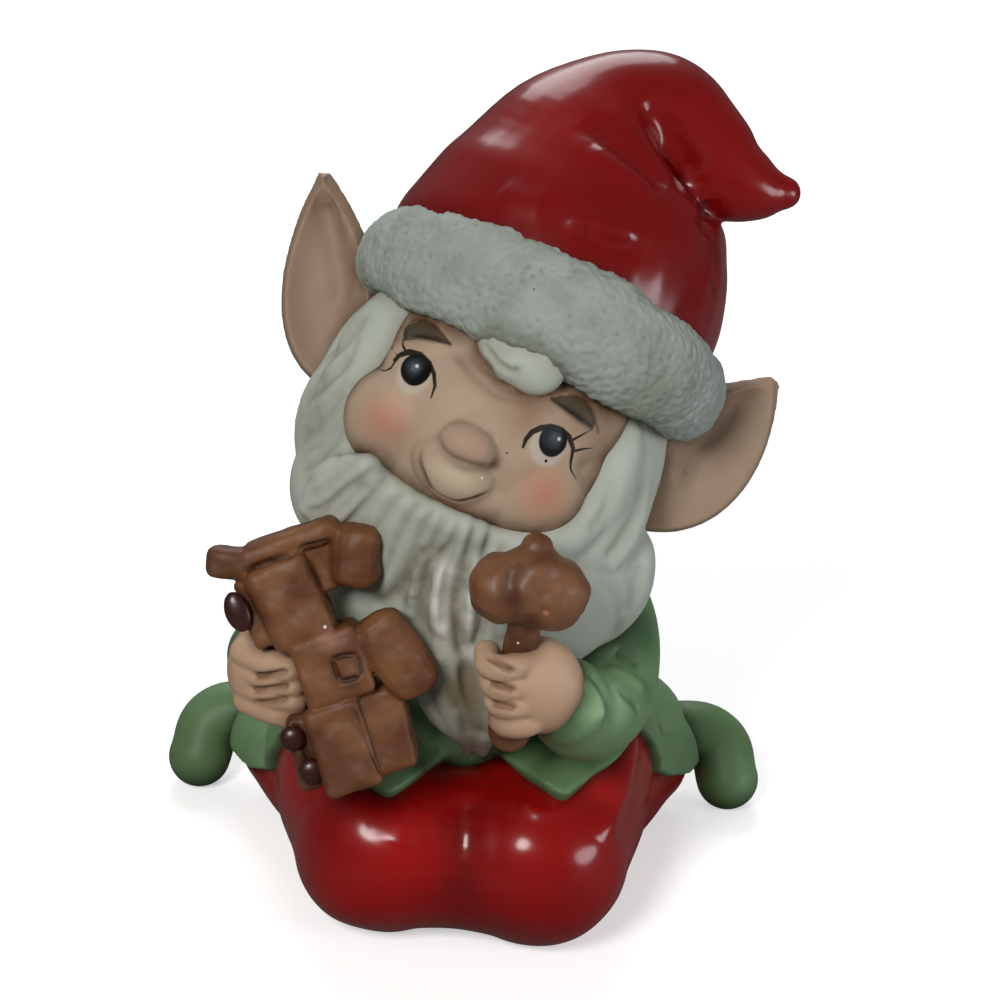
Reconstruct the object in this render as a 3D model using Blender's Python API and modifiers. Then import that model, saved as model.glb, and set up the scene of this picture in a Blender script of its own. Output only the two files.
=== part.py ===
# A slip-cast porcelain elf that kneels and looks up, with a toy in one hand and a mallet in the other.
# The figurine is one casting. Its forms are modelled one by one, melted into one clay body,
# cut flat underneath, given the caster's vent hole, and painted by zone.
# Metres, +Z up. The elf faces -Y, and the origin is on the floor under the middle of the body.

import math

import bmesh
import bpy
from mathutils import Matrix, Vector
from mathutils.bvhtree import BVHTree

# Every other length is in grid units, so the whole figure follows from its height
FIGURE_HEIGHT = 0.112
GRID_HEIGHT = 112
UNIT = FIGURE_HEIGHT / GRID_HEIGHT

# Head: it leans back and tilts to the elf's left, so that the elf looks up
HEAD_CENTRE = Vector((-1.4, -6, 66)) * UNIT
HEAD_LEAN_BACK = 25
HEAD_TILT = 25.5
SKULL_HALF_WIDTH = 23.5 * UNIT
SKULL_HALF_DEPTH = 19.4 * UNIT
SKULL_HALF_HEIGHT = 23 * UNIT
FACE_HALF_WIDTH = 17.8 * UNIT
FACE_HALF_DEPTH = 19 * UNIT
NOSE_HALF_WIDTH = 3.7 * UNIT
CHEEK_SPACING = 18 * UNIT
CHEEK_RADIUS = 7.8 * UNIT
LIP_HALF_WIDTH = 5.7 * UNIT

# Ears: pointed leaves with a hollow in front
EAR_REACH = 15 * UNIT
EAR_RISE = 25.5 * UNIT
EAR_WALL = 2.3 * UNIT
EAR_HOLLOW = 2.2 * UNIT
# The ear on the raised side of the head leans out further
EAR_LEAN = -7

# Hat: a cone whose tail has flopped to one side, with a fur trim that is taller and higher in front
TRIM_RISE = 17.6 * UNIT
TRIM_FRONT_HEIGHT = 14.6 * UNIT
TRIM_BACK_HEIGHT = 10 * UNIT
TRIM_FRONT_LIFT = 2.2 * UNIT
TRIM_SAG = 0.7 * UNIT
TRIM_HALF_THICKNESS = 4 * UNIT
HAT_OVER_SKULL = 0.9 * UNIT
HAT_RISE = 31 * UNIT
HAT_TAIL_LENGTH = 23.7 * UNIT
HAT_TAIL_RADIUS = 6.8 * UNIT

# Hair and beard
BEARD_HALF_WIDTH = 20.5 * UNIT
BEARD_TIP_HEIGHT = 29.5 * UNIT
BEARD_LOCKS = 17
BEARD_FAN_TOP = 66
BEARD_FAN_BOTTOM = 46
BEARD_LOCK_RADIUS = 2.5 * UNIT
HAIR_LOCKS_EACH_SIDE = 6
HAIR_FAN_FRONT = 66
HAIR_FAN_BACK = 172
HAIR_LOCK_RADIUS = 2.3 * UNIT
HAIRLINE_RADIUS = 3.2 * UNIT
LOCK_WAVE = 1.6 * UNIT

# Legs, kneeling, with the feet turned out behind
KNEE_RADIUS = 12.4 * UNIT
HIP_RADIUS = 14 * UNIT
SHIN_RADIUS = 9 * UNIT
KNEE_SPACING = 20.6 * UNIT
THIGH_LENGTH = 27 * UNIT
KNEE_FORWARD = 21 * UNIT
BOOT_RADIUS = 4.5 * UNIT
BOOT_SPREAD = 77 * UNIT
BOOT_BACK = 11.5 * UNIT

# Jacket
CHEST_HALF_WIDTH = 20 * UNIT
CHEST_HALF_DEPTH = 16 * UNIT
CHEST_HALF_HEIGHT = 20 * UNIT
CHEST_CENTRE_HEIGHT = 33 * UNIT
TAILS_HALF_WIDTH = 30 * UNIT
JACKET_WALL = 1.7 * UNIT
SLEEVE_RADIUS = 6.7 * UNIT
CUFF_RADIUS = 5.7 * UNIT
SHOULDER_HEIGHT = 44 * UNIT
# From the shoulder to the wrist of each arm
MALLET_ARM = ((9, 2, 0), (17, -5, -2.5), (18.6, -14, -10), (15.4, -23, -9.5), (12.8, -28.5, -4.5))
TOY_ARM = ((-11, 2, 0), (-19.2, -5, -2.5), (-22.6, -13, -7.5), (-25, -17, -6.5), (-26, -20.5, -4.2))
# How far down the skirt hangs, as azimuth and elevation in degrees, seen from inside the lap:
# two points in front, a slit at each side and tails behind
SKIRT_WAIST = 62
HEM = (
    (0, 48), (12, 46), (19, 34), (26, 26), (39, 29), (53, 30), (75, 32),
    (78, 21), (91, 5), (100, 0), (130, -4), (180, -2),
)

# Hands
FIST_HALF_HEIGHT = 6.5 * UNIT
FIST_HALF_WIDTH = 5.3 * UNIT
FINGER_RADIUS = 1.6 * UNIT
FINGER_SPACING = 2.6 * UNIT
FINGERS = 4

# Mallet
MALLET_HEAD_HALF_LENGTH = 7.4 * UNIT
MALLET_HEAD_HALF_DEPTH = 4.8 * UNIT
MALLET_HANDLE_RADIUS = 2.3 * UNIT
MALLET_HANDLE_LENGTH = 21.6 * UNIT

# Toy: three stacked blocks with slabs on one side and wheels on the other
TOY_LEAN = -20
TOY_TILT = -22
TOY_HALF_DEPTH = 4.5 * UNIT
TOY_BLOCK_HALF_WIDTH = 4.5 * UNIT
TOY_BLOCK_HALF_HEIGHT = 4.6 * UNIT
TOY_STACK_HALF_HEIGHT = 16 * UNIT
TOY_SLAB_HALF_THICKNESS = 2.6 * UNIT
TOY_SLAB_ROUND = 2.3 * UNIT
TOY_WHEEL_RADIUS = 1.5 * UNIT
TOY_EDGE_ROUND = 1.1 * UNIT

# Casting
VENT_RADIUS = 3 * UNIT
VENT_DEPTH = 6 * UNIT
VENT_BACK = 7 * UNIT
CLAY_GRAIN = 0.56 * UNIT
TRIANGLES = 11400

# Places that follow from the sizes
HEAD_FRAME = (
    Matrix.Translation(HEAD_CENTRE)
    @ Matrix.Rotation(math.radians(-HEAD_LEAN_BACK), 4, "X")
    @ Matrix.Rotation(math.radians(HEAD_TILT), 4, "Y")
)
BEYOND = 2 * FIGURE_HEIGHT
LAP_CENTRE = Vector((0, 0, HIP_RADIUS - 6 * UNIT))

# Each zone's paint: linear colour and roughness
PAINTS = {
    "trousers": ((0.33, 0.01, 0.008), 0.15),
    "boots": ((0.05, 0.11, 0.04), 0.6),
    "jacket": ((0.08, 0.2, 0.1), 0.6),
    "skin": ((0.5, 0.33, 0.22), 0.7),
    "hair": ((0.45, 0.45, 0.38), 0.7),
    "trim": ((0.42, 0.45, 0.4), 0.8),
    "hat": ((0.33, 0.01, 0.008), 0.15),
    "wood": ((0.18, 0.09, 0.045), 0.45),
}


def grid(*place):
    return Vector(place) * UNIT


def route(*places):
    return [grid(*place) for place in places]


def widths(*radii):
    return [radius * UNIT for radius in radii]


def form_object(mesh):
    form = bpy.data.objects.new(mesh.name, mesh)
    bpy.context.scene.collection.objects.link(form)
    return form


# An ellipsoid; it leans by some degrees about its frame's Y
def ball(centre, radii, frame=Matrix(), lean=0):
    mesh = bpy.data.meshes.new("ball")
    clay = bmesh.new()
    bmesh.ops.create_uvsphere(clay, u_segments=36, v_segments=24, radius=1)
    clay.to_mesh(mesh)
    clay.free()
    spin = Matrix.Rotation(math.radians(lean), 4, "Y")
    mesh.transform(frame @ Matrix.Translation(centre) @ spin @ Matrix.Diagonal((*radii, 1)))
    return form_object(mesh)


# A tapering round limb along a smooth curve, closed with a ball at each rounded end
def limb(points, radii, frame=Matrix(), rounded=(0, -1)):
    curve = bpy.data.curves.new("limb", "CURVE")
    curve.dimensions = "3D"
    curve.resolution_u = 10
    curve.bevel_resolution = 4 if max(radii) < 4 * UNIT else 12
    # With a depth of one metre, each point's radius is the limb's own radius in metres
    curve.bevel_depth = 1
    curve.use_fill_caps = True
    spline = curve.splines.new("BEZIER")
    spline.radius_interpolation = "CARDINAL"
    spline.bezier_points.add(len(points) - 1)
    for knot, point, radius in zip(spline.bezier_points, points, radii):
        knot.co = frame @ point
        knot.radius = radius
        knot.handle_left_type = "AUTO"
        knot.handle_right_type = "AUTO"
    tube = bpy.data.objects.new("limb", curve)
    bpy.context.scene.collection.objects.link(tube)
    mesh = bpy.data.meshes.new_from_object(tube.evaluated_get(bpy.context.evaluated_depsgraph_get()))
    clay = bmesh.new()
    clay.from_mesh(mesh)
    bmesh.ops.remove_doubles(clay, verts=clay.verts, dist=0.01 * UNIT)
    clay.to_mesh(mesh)
    clay.free()
    bpy.data.objects.remove(tube)
    ends = [ball(frame @ points[end], [radii[end]] * 3) for end in rounded]
    return [form_object(mesh)] + ends


# A block with rounded edges between two corners; it leans by some degrees about its frame's Y
def block(low, high, frame, lean=0, edge=TOY_EDGE_ROUND):
    mesh = bpy.data.meshes.new("block")
    clay = bmesh.new()
    bmesh.ops.create_cube(clay, size=1)
    bmesh.ops.scale(clay, vec=high - low, verts=clay.verts)
    bmesh.ops.bevel(clay, geom=clay.edges, offset=edge, segments=3, profile=0.5,
                    affect="EDGES")
    clay.to_mesh(mesh)
    clay.free()
    spin = Matrix.Rotation(math.radians(lean), 4, "Y")
    mesh.transform(frame @ Matrix.Translation((low + high) / 2) @ spin)
    return form_object(mesh)


# The outer skin of a group of forms, for laying locks and cloth on it
def skin_of(forms):
    clay = bmesh.new()
    for form in forms:
        clay.from_mesh(form.data)
    skin = BVHTree.FromBMesh(clay)
    clay.free()
    return skin


# The direction out of the body at an azimuth from the front and an elevation, in degrees
def heading(azimuth, elevation=0):
    around = math.radians(azimuth)
    up = math.radians(elevation)
    return Vector((math.cos(up) * math.sin(around), -math.cos(up) * math.cos(around), math.sin(up)))


def mixed(low, high, share):
    return low + (high - low) * share


# The value of a short profile between its knots
def profile(knots, degrees):
    for (start, low), (stop, high) in zip(knots, knots[1:]):
        if start <= degrees <= stop:
            return mixed(low, high, (degrees - start) / (stop - start))
    return knots[-1][1]


# Turn an object's modifiers into its mesh
def settle(body):
    mesh = bpy.data.meshes.new_from_object(body.evaluated_get(bpy.context.evaluated_depsgraph_get()))
    body.modifiers.clear()
    body.data = mesh


# Two thighs side by side, bent at the knees, with the shins folded under and out behind
def trousers():
    forms = []
    knees = []
    for side in (-1, 1):
        knee = Vector((side * KNEE_SPACING / 2, -KNEE_FORWARD, KNEE_RADIUS - 0.8 * UNIT))
        knees.append(knee)
        hip = Vector((side * (KNEE_SPACING / 2 + 1.6 * UNIT), THIGH_LENGTH - KNEE_FORWARD, HIP_RADIUS))
        middle = (knee + hip) / 2 + grid(side * 1.2, 0, 0.8)
        forms += limb([hip, middle, knee], [HIP_RADIUS, HIP_RADIUS * 0.98, KNEE_RADIUS])
        forms += limb(route((side * 14, -8, 8), (side * 20, 2, 8), (side * 25, 10, 8)),
                      [SHIN_RADIUS, SHIN_RADIUS * 0.93, SHIN_RADIUS * 0.82])
    seat = grid(0, 10, 13)
    middle_of_base = grid(0, 2, 9)
    between_knees = (knees[0] + knees[1]) / 2
    forms.append(ball(seat, widths(20, 11, 14)))
    forms.append(ball(middle_of_base, widths(19, 19, 10.5)))
    forms += limb([knees[0], between_knees, knees[1]],
                  [KNEE_RADIUS * 0.97, KNEE_RADIUS * 0.88, KNEE_RADIUS * 0.97])
    return forms


# Each boot curves up from the toe and over to the ankle
def boots():
    forms = []
    for side in (-1, 1):
        toe = Vector((side * BOOT_SPREAD / 2, BOOT_BACK, BOOT_RADIUS - 0.3 * UNIT))
        arch = toe + grid(-side * 2, 3.4, 4.4)
        ankle = toe + grid(-side * 9.5, 3, 6)
        forms += limb([ankle, arch, toe], [BOOT_RADIUS] * 3)
    return forms


def chest():
    middle = Vector((-0.5 * UNIT, UNIT, CHEST_CENTRE_HEIGHT))
    shoulders = middle + grid(-0.3, 0, 9)
    tails = grid(0, 11, 14)
    return [
        ball(middle, (CHEST_HALF_WIDTH, CHEST_HALF_DEPTH, CHEST_HALF_HEIGHT)),
        ball(shoulders, (CHEST_HALF_WIDTH, CHEST_HALF_DEPTH * 0.7, CHEST_HALF_HEIGHT * 0.475)),
        ball(tails, (TAILS_HALF_WIDTH, 12 * UNIT, 10 * UNIT)),
    ]


# The jacket's skirt: cloth laid over the lap, sunk into the body at the waist
def skirt(lap):
    skin = skin_of(lap)
    columns = 120
    rows = 12
    waist_rows = 4
    mesh = bpy.data.meshes.new("skirt")
    clay = bmesh.new()
    lines = []
    for column in range(columns):
        azimuth = -180 + 360 * column / columns
        hem = profile(HEM, abs(azimuth))
        line = []
        for row in range(rows):
            out = heading(azimuth, mixed(SKIRT_WAIST, hem, row / (rows - 1)))
            place, normal, _, _ = skin.ray_cast(LAP_CENTRE + out * BEYOND, -out)
            share = min(1, row / waist_rows)
            line.append(clay.verts.new(place + normal * mixed(-UNIT, JACKET_WALL, share)))
        lines.append(line)
    for column in range(columns):
        beside = lines[(column + 1) % columns]
        for row in range(rows - 1):
            clay.faces.new((lines[column][row], lines[column][row + 1], beside[row + 1], beside[row]))
    bmesh.ops.recalc_face_normals(clay, faces=clay.faces)
    clay.to_mesh(mesh)
    clay.free()
    form = form_object(mesh)
    wall = form.modifiers.new("wall", "SOLIDIFY")
    wall.thickness = JACKET_WALL * 2
    wall.offset = -1
    return form


def arm(places):
    return [Vector((0, 0, SHOULDER_HEIGHT)) + place for place in route(*places)]


def sleeves():
    radii = [SLEEVE_RADIUS, SLEEVE_RADIUS * 1.02, SLEEVE_RADIUS, SLEEVE_RADIUS * 0.93, CUFF_RADIUS]
    return limb(arm(MALLET_ARM), radii) + limb(arm(TOY_ARM), radii)


# The face: a broad brow and jaw, a bulb nose, a raised upper lip and round cheeks
def face():
    wide = FACE_HALF_WIDTH
    brow_radii = widths(9.4, 14.6, 10.5)
    nose = NOSE_HALF_WIDTH
    lip = LIP_HALF_WIDTH
    forms = [
        ball(grid(0.8, -3, 2), (wide, FACE_HALF_DEPTH, wide * 0.91), HEAD_FRAME),
        ball(grid(9.2, -4, 7.5), brow_radii, HEAD_FRAME),
        ball(grid(-7, -4, 7), brow_radii, HEAD_FRAME),
        ball(grid(0.8, -5, -3.4), (wide * 0.83, wide * 0.8, wide * 0.46), HEAD_FRAME),
        ball(grid(0.4, -22.6, -1.2), (nose, nose, nose * 0.75), HEAD_FRAME),
        ball(grid(0.3, -19.5, -4.4), (lip, lip * 0.7, lip * 0.68), HEAD_FRAME),
        ball(grid(1, -16.8, -8), (lip, lip * 0.5, lip * 0.43), HEAD_FRAME),
    ]
    for side in (-1, 1):
        cheek = Vector((side * CHEEK_SPACING / 2, 0, 0)) + grid(0.7, -12.4, -2.2)
        eyelid = grid(0.3 + side * 9.4, -14.2, 4.4)
        forms.append(ball(cheek, (CHEEK_RADIUS, CHEEK_RADIUS * 0.9, CHEEK_RADIUS * 0.9), HEAD_FRAME))
        forms.append(ball(eyelid, widths(5, 4.4, 5), HEAD_FRAME))
    return forms


# The mass of hair round the face, with a full lobe at each jaw
def skull():
    jaw_radii = widths(10, 12, 13)
    skull_radii = (SKULL_HALF_WIDTH, SKULL_HALF_DEPTH, SKULL_HALF_HEIGHT)
    return [
        ball(grid(2.2, 3, 2), skull_radii, HEAD_FRAME),
        ball(grid(-11.4, -1, -4), jaw_radii, HEAD_FRAME),
        ball(grid(16.4, -1, -4), jaw_radii, HEAD_FRAME),
        ball(grid(-9.6, -4, -12), widths(9, 10, 9.5), HEAD_FRAME),
    ]


# The beard hangs straight down from the tilted head, to a forked tip
def beard_body():
    middle = HEAD_CENTRE + grid(2, -8, -16)
    chin = HEAD_CENTRE + grid(2.6, -16.5, -26)
    forms = [
        ball(middle, (BEARD_HALF_WIDTH, BEARD_HALF_WIDTH * 0.63, BEARD_HALF_WIDTH * 0.76)),
        ball(chin, widths(8.5, 6.5, 10.5)),
    ]
    for start, bend, end in (((-3, -26, 44), (-0.5, -26.4, 36), 0.4), ((4, -26, 43), (2.4, -26.6, 36), 2.6)):
        tip = Vector((end * UNIT, -22.6 * UNIT, BEARD_TIP_HEIGHT))
        forms += limb([grid(*start), grid(*bend), tip], widths(3.3, 2.7, 0.8))
    forms += limb(route((17, -13, 58), (19.4, -12.6, 51), (17, -13, 44), (12, -14, 38.4)),
                  widths(4, 4.6, 4, 1.6))
    return forms


# One wavy lock, laid on the hair from a start to an end that are given as azimuth and height
def lock(skin, start, end, radius, wave, frame=Matrix()):
    turn = frame.to_3x3()
    wave_degrees = math.degrees(wave / SKULL_HALF_WIDTH)
    points = []
    steps = 7
    for step in range(steps):
        share = step / (steps - 1)
        out = heading(mixed(start[0], end[0], share) + wave_degrees * math.sin(2 * math.pi * share))
        outside = Vector((0, 0, mixed(start[1], end[1], share))) + out * BEYOND
        place = skin.ray_cast(frame @ outside, turn @ -out)[0]
        if place is not None:
            points.append(place - turn @ out * radius / 4)
    if len(points) < 3:
        return []
    swell = [math.sin(math.pi * min(1, 0.25 + k / len(points))) for k in range(len(points))]
    radii = [radius * mixed(0.55, 1, value) for value in swell]
    radii[-1] = radius / 3
    return limb(points, radii)


# Locks fan out from under the face, wave, and run down towards the beard's tip
def beard(body):
    skin = skin_of(body)
    lowest = BEARD_TIP_HEIGHT + 1.5 * UNIT
    forms = []
    for number in range(BEARD_LOCKS):
        share = 2 * number / (BEARD_LOCKS - 1) - 1
        aside = abs(share)
        start = (share * BEARD_FAN_TOP + 4, HEAD_CENTRE.z + mixed(-8, 4, aside) * UNIT)
        end = (share * BEARD_FAN_BOTTOM + 5, mixed(lowest, HEAD_CENTRE.z - 4 * UNIT, aside ** 1.3))
        forms += lock(skin, start, end, BEARD_LOCK_RADIUS, LOCK_WAVE if number % 2 else -LOCK_WAVE)
    return forms


# Locks on both sides of the face and round the back, the hairline that frames the face,
# and the forelock that hangs on the brow
def hair(body):
    skin = skin_of(body)
    top = TRIM_RISE - 3.6 * UNIT
    forms = []
    for side in (-1, 1):
        for number in range(HAIR_LOCKS_EACH_SIDE):
            share = number / (HAIR_LOCKS_EACH_SIDE - 1)
            azimuth = 4 + side * mixed(HAIR_FAN_FRONT, HAIR_FAN_BACK, share)
            forms += lock(skin, (azimuth, top), (azimuth + side * 4, -17 * UNIT),
                          HAIR_LOCK_RADIUS, LOCK_WAVE, HEAD_FRAME)
    radius = HAIRLINE_RADIUS
    radii = [radius * 0.8, radius, radius, radius * 0.86]
    forms += limb(route((-14.6, -11, 11), (-17.2, -11.6, 4), (-16.4, -12.4, -3.6), (-12.2, -14.4, -9.6)),
                  radii, HEAD_FRAME)
    forms += limb(route((17.6, -10.6, 9), (19.4, -11.2, 2), (17.6, -12.4, -4.4), (12.2, -14.6, -8.8)),
                  radii, HEAD_FRAME)
    forms.append(ball(grid(-1.8, -19.1, 13), widths(3.9, 3, 3.6), HEAD_FRAME, -20))
    forms.append(ball(grid(2.6, -19.4, 11.5), widths(4.3, 3.2, 4), HEAD_FRAME, 25))
    return forms


# A pointed ear: a hollowed leaf of clay between an inner and an outer edge
def ear(side):
    root = 16.5 * UNIT
    reach = EAR_REACH
    tip = Vector((root + reach, 4 * UNIT, EAR_RISE))
    inner = [grid(16.5, 2, 0), grid(17, 1, 8), grid(18, 1, 17), tip]
    belly = root + reach * 1.46
    outer = [grid(19, 4, -1), Vector((root + reach * 1.2, 5 * UNIT, -1.4 * UNIT)),
             Vector((belly, 5 * UNIT, EAR_RISE / 2)), tip]

    def along(edge, share):
        rest = 1 - share
        return (edge[0] * rest ** 3 + edge[1] * 3 * rest ** 2 * share
                + edge[2] * 3 * rest * share ** 2 + edge[3] * share ** 3)

    lean = Matrix.Rotation(math.radians(EAR_LEAN if side < 0 else 0), 4, "Y")
    mesh = bpy.data.meshes.new("ear")
    clay = bmesh.new()
    rows = 14
    columns = 9
    lines = []
    for row in range(rows):
        rise = row / (rows - 1) * 0.99
        line = []
        for column in range(columns):
            across = column / (columns - 1)
            point = along(inner, rise).lerp(along(outer, rise), across)
            point.y += EAR_HOLLOW * math.sin(math.pi * across) * math.sin(math.pi * rise) ** 0.7
            point.x = side * point.x + UNIT
            line.append(clay.verts.new(HEAD_FRAME @ lean @ point))
        lines.append(line)
    for row in range(rows - 1):
        for column in range(columns - 1):
            clay.faces.new((lines[row][column], lines[row][column + 1],
                            lines[row + 1][column + 1], lines[row + 1][column]))
    bmesh.ops.recalc_face_normals(clay, faces=clay.faces)
    clay.to_mesh(mesh)
    clay.free()
    form = form_object(mesh)
    wall = form.modifiers.new("wall", "SOLIDIFY")
    wall.thickness = EAR_WALL
    wall.offset = 0
    return form


# The fur trim: an oval ring round the head
def trim():
    bpy.ops.mesh.primitive_torus_add(major_radius=1, minor_radius=0.5,
                                     major_segments=60, minor_segments=20)
    ring = bpy.context.object
    centre = Vector((1.7 * UNIT, 0.6 * UNIT, TRIM_RISE - 0.4 * UNIT))
    half_width = SKULL_HALF_WIDTH - 1.6 * UNIT
    half_depth = SKULL_HALF_DEPTH + 1.2 * UNIT
    for vertex in ring.data.vertices:
        x, y, z = vertex.co
        out = math.hypot(x, y)
        front = ((1 - y / out) / 2) ** 2
        stretch = (out - 1) * 2 * TRIM_HALF_THICKNESS
        vertex.co = HEAD_FRAME @ (centre + Vector((
            x / out * (half_width + stretch),
            y / out * (half_depth + stretch),
            z * mixed(TRIM_BACK_HEIGHT, TRIM_FRONT_HEIGHT, front) + TRIM_FRONT_LIFT * front
            + TRIM_SAG * (x / out - 1),
        )))
    return ring


# A stocking hat: its crown narrows upwards, its tail runs out sideways, and folds pinch the bend
def hat():
    base_radius = SKULL_HALF_WIDTH - HAT_OVER_SKULL
    base = Vector((0.5 * UNIT, 1.2 * UNIT, TRIM_RISE + 1.4 * UNIT))
    bend = Vector((1.2 * UNIT, 2.4 * UNIT, TRIM_RISE + HAT_RISE - 0.5 * UNIT))
    crown = (
        (base, base_radius * 1.01),
        (mixed(base, bend, 0.25), base_radius),
        (mixed(base, bend, 0.58) - grid(1.6, 0, 0), base_radius * 0.85),
        (mixed(base, bend, 0.82) - grid(1.9, 0, 0), base_radius * 0.64),
        (bend, base_radius * 0.39),
    )
    tail = (
        (0.29, 0.1, 1), (0.61, -1.8, 0.87), (0.84, -1.4, 0.57), (0.99, -0.5, 0.25),
    )
    spine = [place for place, _ in crown]
    radii = [radius for _, radius in crown]
    for share, rise, swell in tail:
        spine.append(bend + Vector((share * (HAT_TAIL_LENGTH - 2 * UNIT), -1.4 * share * UNIT, rise * UNIT)))
        radii.append(HAT_TAIL_RADIUS * swell)
    forms = limb(spine, radii, HEAD_FRAME, rounded=(-1,))
    folds = (
        route((-6, -9.4, 44), (0, -9.9, 42.6), (8, -7.4, 40.6)),
        route((-2, -5.4, 50), (4, -5, 47.5), (10, -3.4, 43.5)),
    )
    for fold in folds:
        forms += limb(fold, widths(1.4, 2, 1.2), HEAD_FRAME)
    return forms


# Closed fists at the wrists: the fingers of one wrap the mallet's handle, of the other the toy
def hands():
    mallet_fist = arm(MALLET_ARM)[-1] + grid(-3.6, -2.5, 3.7)
    toy_fist = arm(TOY_ARM)[-1] + grid(-0.2, -3.1, 0.2)
    forms = [
        ball(mallet_fist, (FIST_HALF_WIDTH * 1.06, 4.9 * UNIT, FIST_HALF_HEIGHT), lean=-14),
        ball(toy_fist, (FIST_HALF_WIDTH * 0.94, 4.6 * UNIT, FIST_HALF_HEIGHT * 0.95)),
    ]
    for finger in range(FINGERS):
        down = Vector((finger * 0.7 * UNIT, 0, (1.5 - finger) * FINGER_SPACING))
        wrap = route((-1.8, -1.6, 0.8), (-4.4, -3.6, 0.3), (-6.7, -2.6, 0), (-7, 0, 0.3))
        forms += limb([mallet_fist + down + place for place in wrap], [FINGER_RADIUS] * 4)
        down = Vector((finger * 0.15 * UNIT, 0, (1.4 - finger) * FINGER_SPACING * 0.9))
        wrap = route((-2.8, -2.6, 0), (0.2, -5, 0), (3.6, -6.4, 0))
        forms += limb([toy_fist + down + place for place in wrap], [FINGER_RADIUS * 0.9] * 3)
    return forms


# Two soft lobes, a nub on top, and a handle that runs down through the fist
def mallet():
    head = arm(MALLET_ARM)[-1] + grid(-5.9, -5, 19.1)
    half = MALLET_HEAD_HALF_LENGTH
    deep = MALLET_HEAD_HALF_DEPTH
    forms = [
        ball(head + grid(2.2, 0, -0.5), (half * 0.75, deep, deep), lean=18),
        ball(head + grid(-3.2, 0, -0.2), (half * 0.58, deep * 0.94, deep * 0.92), lean=-14),
        ball(head + grid(-0.2, 0.2, 0.4), (half * 0.76, deep * 0.92, deep * 0.95)),
    ]
    neck = [head + grid(0.7, 0, 1), head + grid(0.9, 0.5, 3.6), head + grid(0.8, 1, 5.9)]
    forms += limb(neck, widths(4.6, 3.3, 1.8))
    grip = head + grid(-0.6, 2, -12)
    foot = head + Vector((-1.4 * UNIT, UNIT, -MALLET_HANDLE_LENGTH))
    stem = MALLET_HANDLE_RADIUS
    forms += limb([head, grip, foot], [stem, stem, stem * 1.13])
    return forms


# Three stacked blocks under a ledge, with rounded slabs on one side and wheels on the other
def toy():
    frame = (
        Matrix.Translation(arm(TOY_ARM)[-1] + grid(8.8, -8.5, 4.2))
        @ Matrix.Rotation(math.radians(TOY_LEAN), 4, "X")
        @ Matrix.Rotation(math.radians(TOY_TILT), 4, "Y")
    )
    deep = TOY_HALF_DEPTH
    wide = TOY_BLOCK_HALF_WIDTH
    tall = TOY_BLOCK_HALF_HEIGHT
    end = TOY_STACK_HALF_HEIGHT

    def piece(left, right, bottom, top, front, back, lean=0):
        return block(Vector((left, front, bottom)), Vector((right, back, top)), frame, lean)

    def slab(middle, half_width, half_height, lean):
        half = Vector((half_width, TOY_SLAB_HALF_THICKNESS, half_height))
        return block(middle - half, middle + half, frame, lean, TOY_SLAB_ROUND)

    forms = [
        piece(-wide * 1.4, wide * 0.4, tall * 0.83, end * 0.95, -deep, deep, -5),
        piece(-wide * 1.4, wide * 1.5, end * 0.95, end * 1.12, -deep * 0.7, deep),
        piece(wide * 0.2, wide * 1.33, tall * 2, end * 1.03, -deep * 0.3, deep),
        piece(-wide, wide, -tall, tall, -deep, deep),
        piece(-wide * 1.33, wide * 0.3, -end, -tall * 0.96, -deep * 1.05, deep, 2),
        piece(0, wide * 1.47, -end * 0.98, -tall, -deep * 0.6, deep, 7),
        piece(-wide * 2, -wide * 1.2, -end * 0.9, -tall, -deep * 0.55, deep * 0.9, 8),
        piece(-wide * 1.9, -wide * 1.3, tall * 1.1, end * 0.88, -deep / 2, deep * 0.9),
        slab(grid(7.4, -1.3, 12.2), wide * 0.72, tall * 0.93, 24),
        slab(grid(8, -2.2, -1.2), wide * 0.8, tall * 1.32, -16),
        ball(grid(-8, -0.5, 17), widths(3.4, 3.4, 2.3), frame, 25),
    ]
    for x, z, stretch in ((-9, 10.6, 1.6), (-8, -7, 1), (-7.2, -11.8, 1)):
        centre = Vector((x * UNIT, -deep * 0.62, z * UNIT))
        radii = (TOY_WHEEL_RADIUS, TOY_WHEEL_RADIUS * 0.65, TOY_WHEEL_RADIUS * stretch)
        forms.append(ball(centre, radii, frame))
    return forms


# One clay body out of a list of forms
def fuse(name, forms):
    depsgraph = bpy.context.evaluated_depsgraph_get()
    clay = bmesh.new()
    for form in forms:
        mesh = bpy.data.meshes.new_from_object(form.evaluated_get(depsgraph))
        clay.from_mesh(mesh)
        bpy.data.meshes.remove(mesh)
    joined = bpy.data.meshes.new(name)
    clay.to_mesh(joined)
    clay.free()
    body = form_object(joined)
    melt = body.modifiers.new("melt", "REMESH")
    melt.mode = "VOXEL"
    melt.voxel_size = CLAY_GRAIN
    soften = body.modifiers.new("soften", "SMOOTH")
    soften.factor = 0.5
    soften.iterations = 1
    settle(body)
    thin = body.modifiers.new("thin", "DECIMATE")
    thin.ratio = TRIANGLES / sum(len(face.vertices) - 2 for face in body.data.polygons)
    settle(body)
    return body


# A cutter is kept in its own collection, drawn as a wire frame, and never rendered
def carve(body, cutter, name, drawer):
    cutter.name = name
    cutter.display_type = "WIRE"
    cutter.hide_render = True
    for shelf in list(cutter.users_collection):
        shelf.objects.unlink(cutter)
    drawer.objects.link(cutter)
    cut = body.modifiers.new(name, "BOOLEAN")
    cut.operation = "DIFFERENCE"
    cut.solver = "EXACT"
    cut.object = cutter


# The block whose top is the table: it cuts the base flat
def floor_cutter():
    bpy.ops.mesh.primitive_cube_add(size=BEYOND, location=(0, 0, -BEYOND / 2))
    return bpy.context.object


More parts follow.
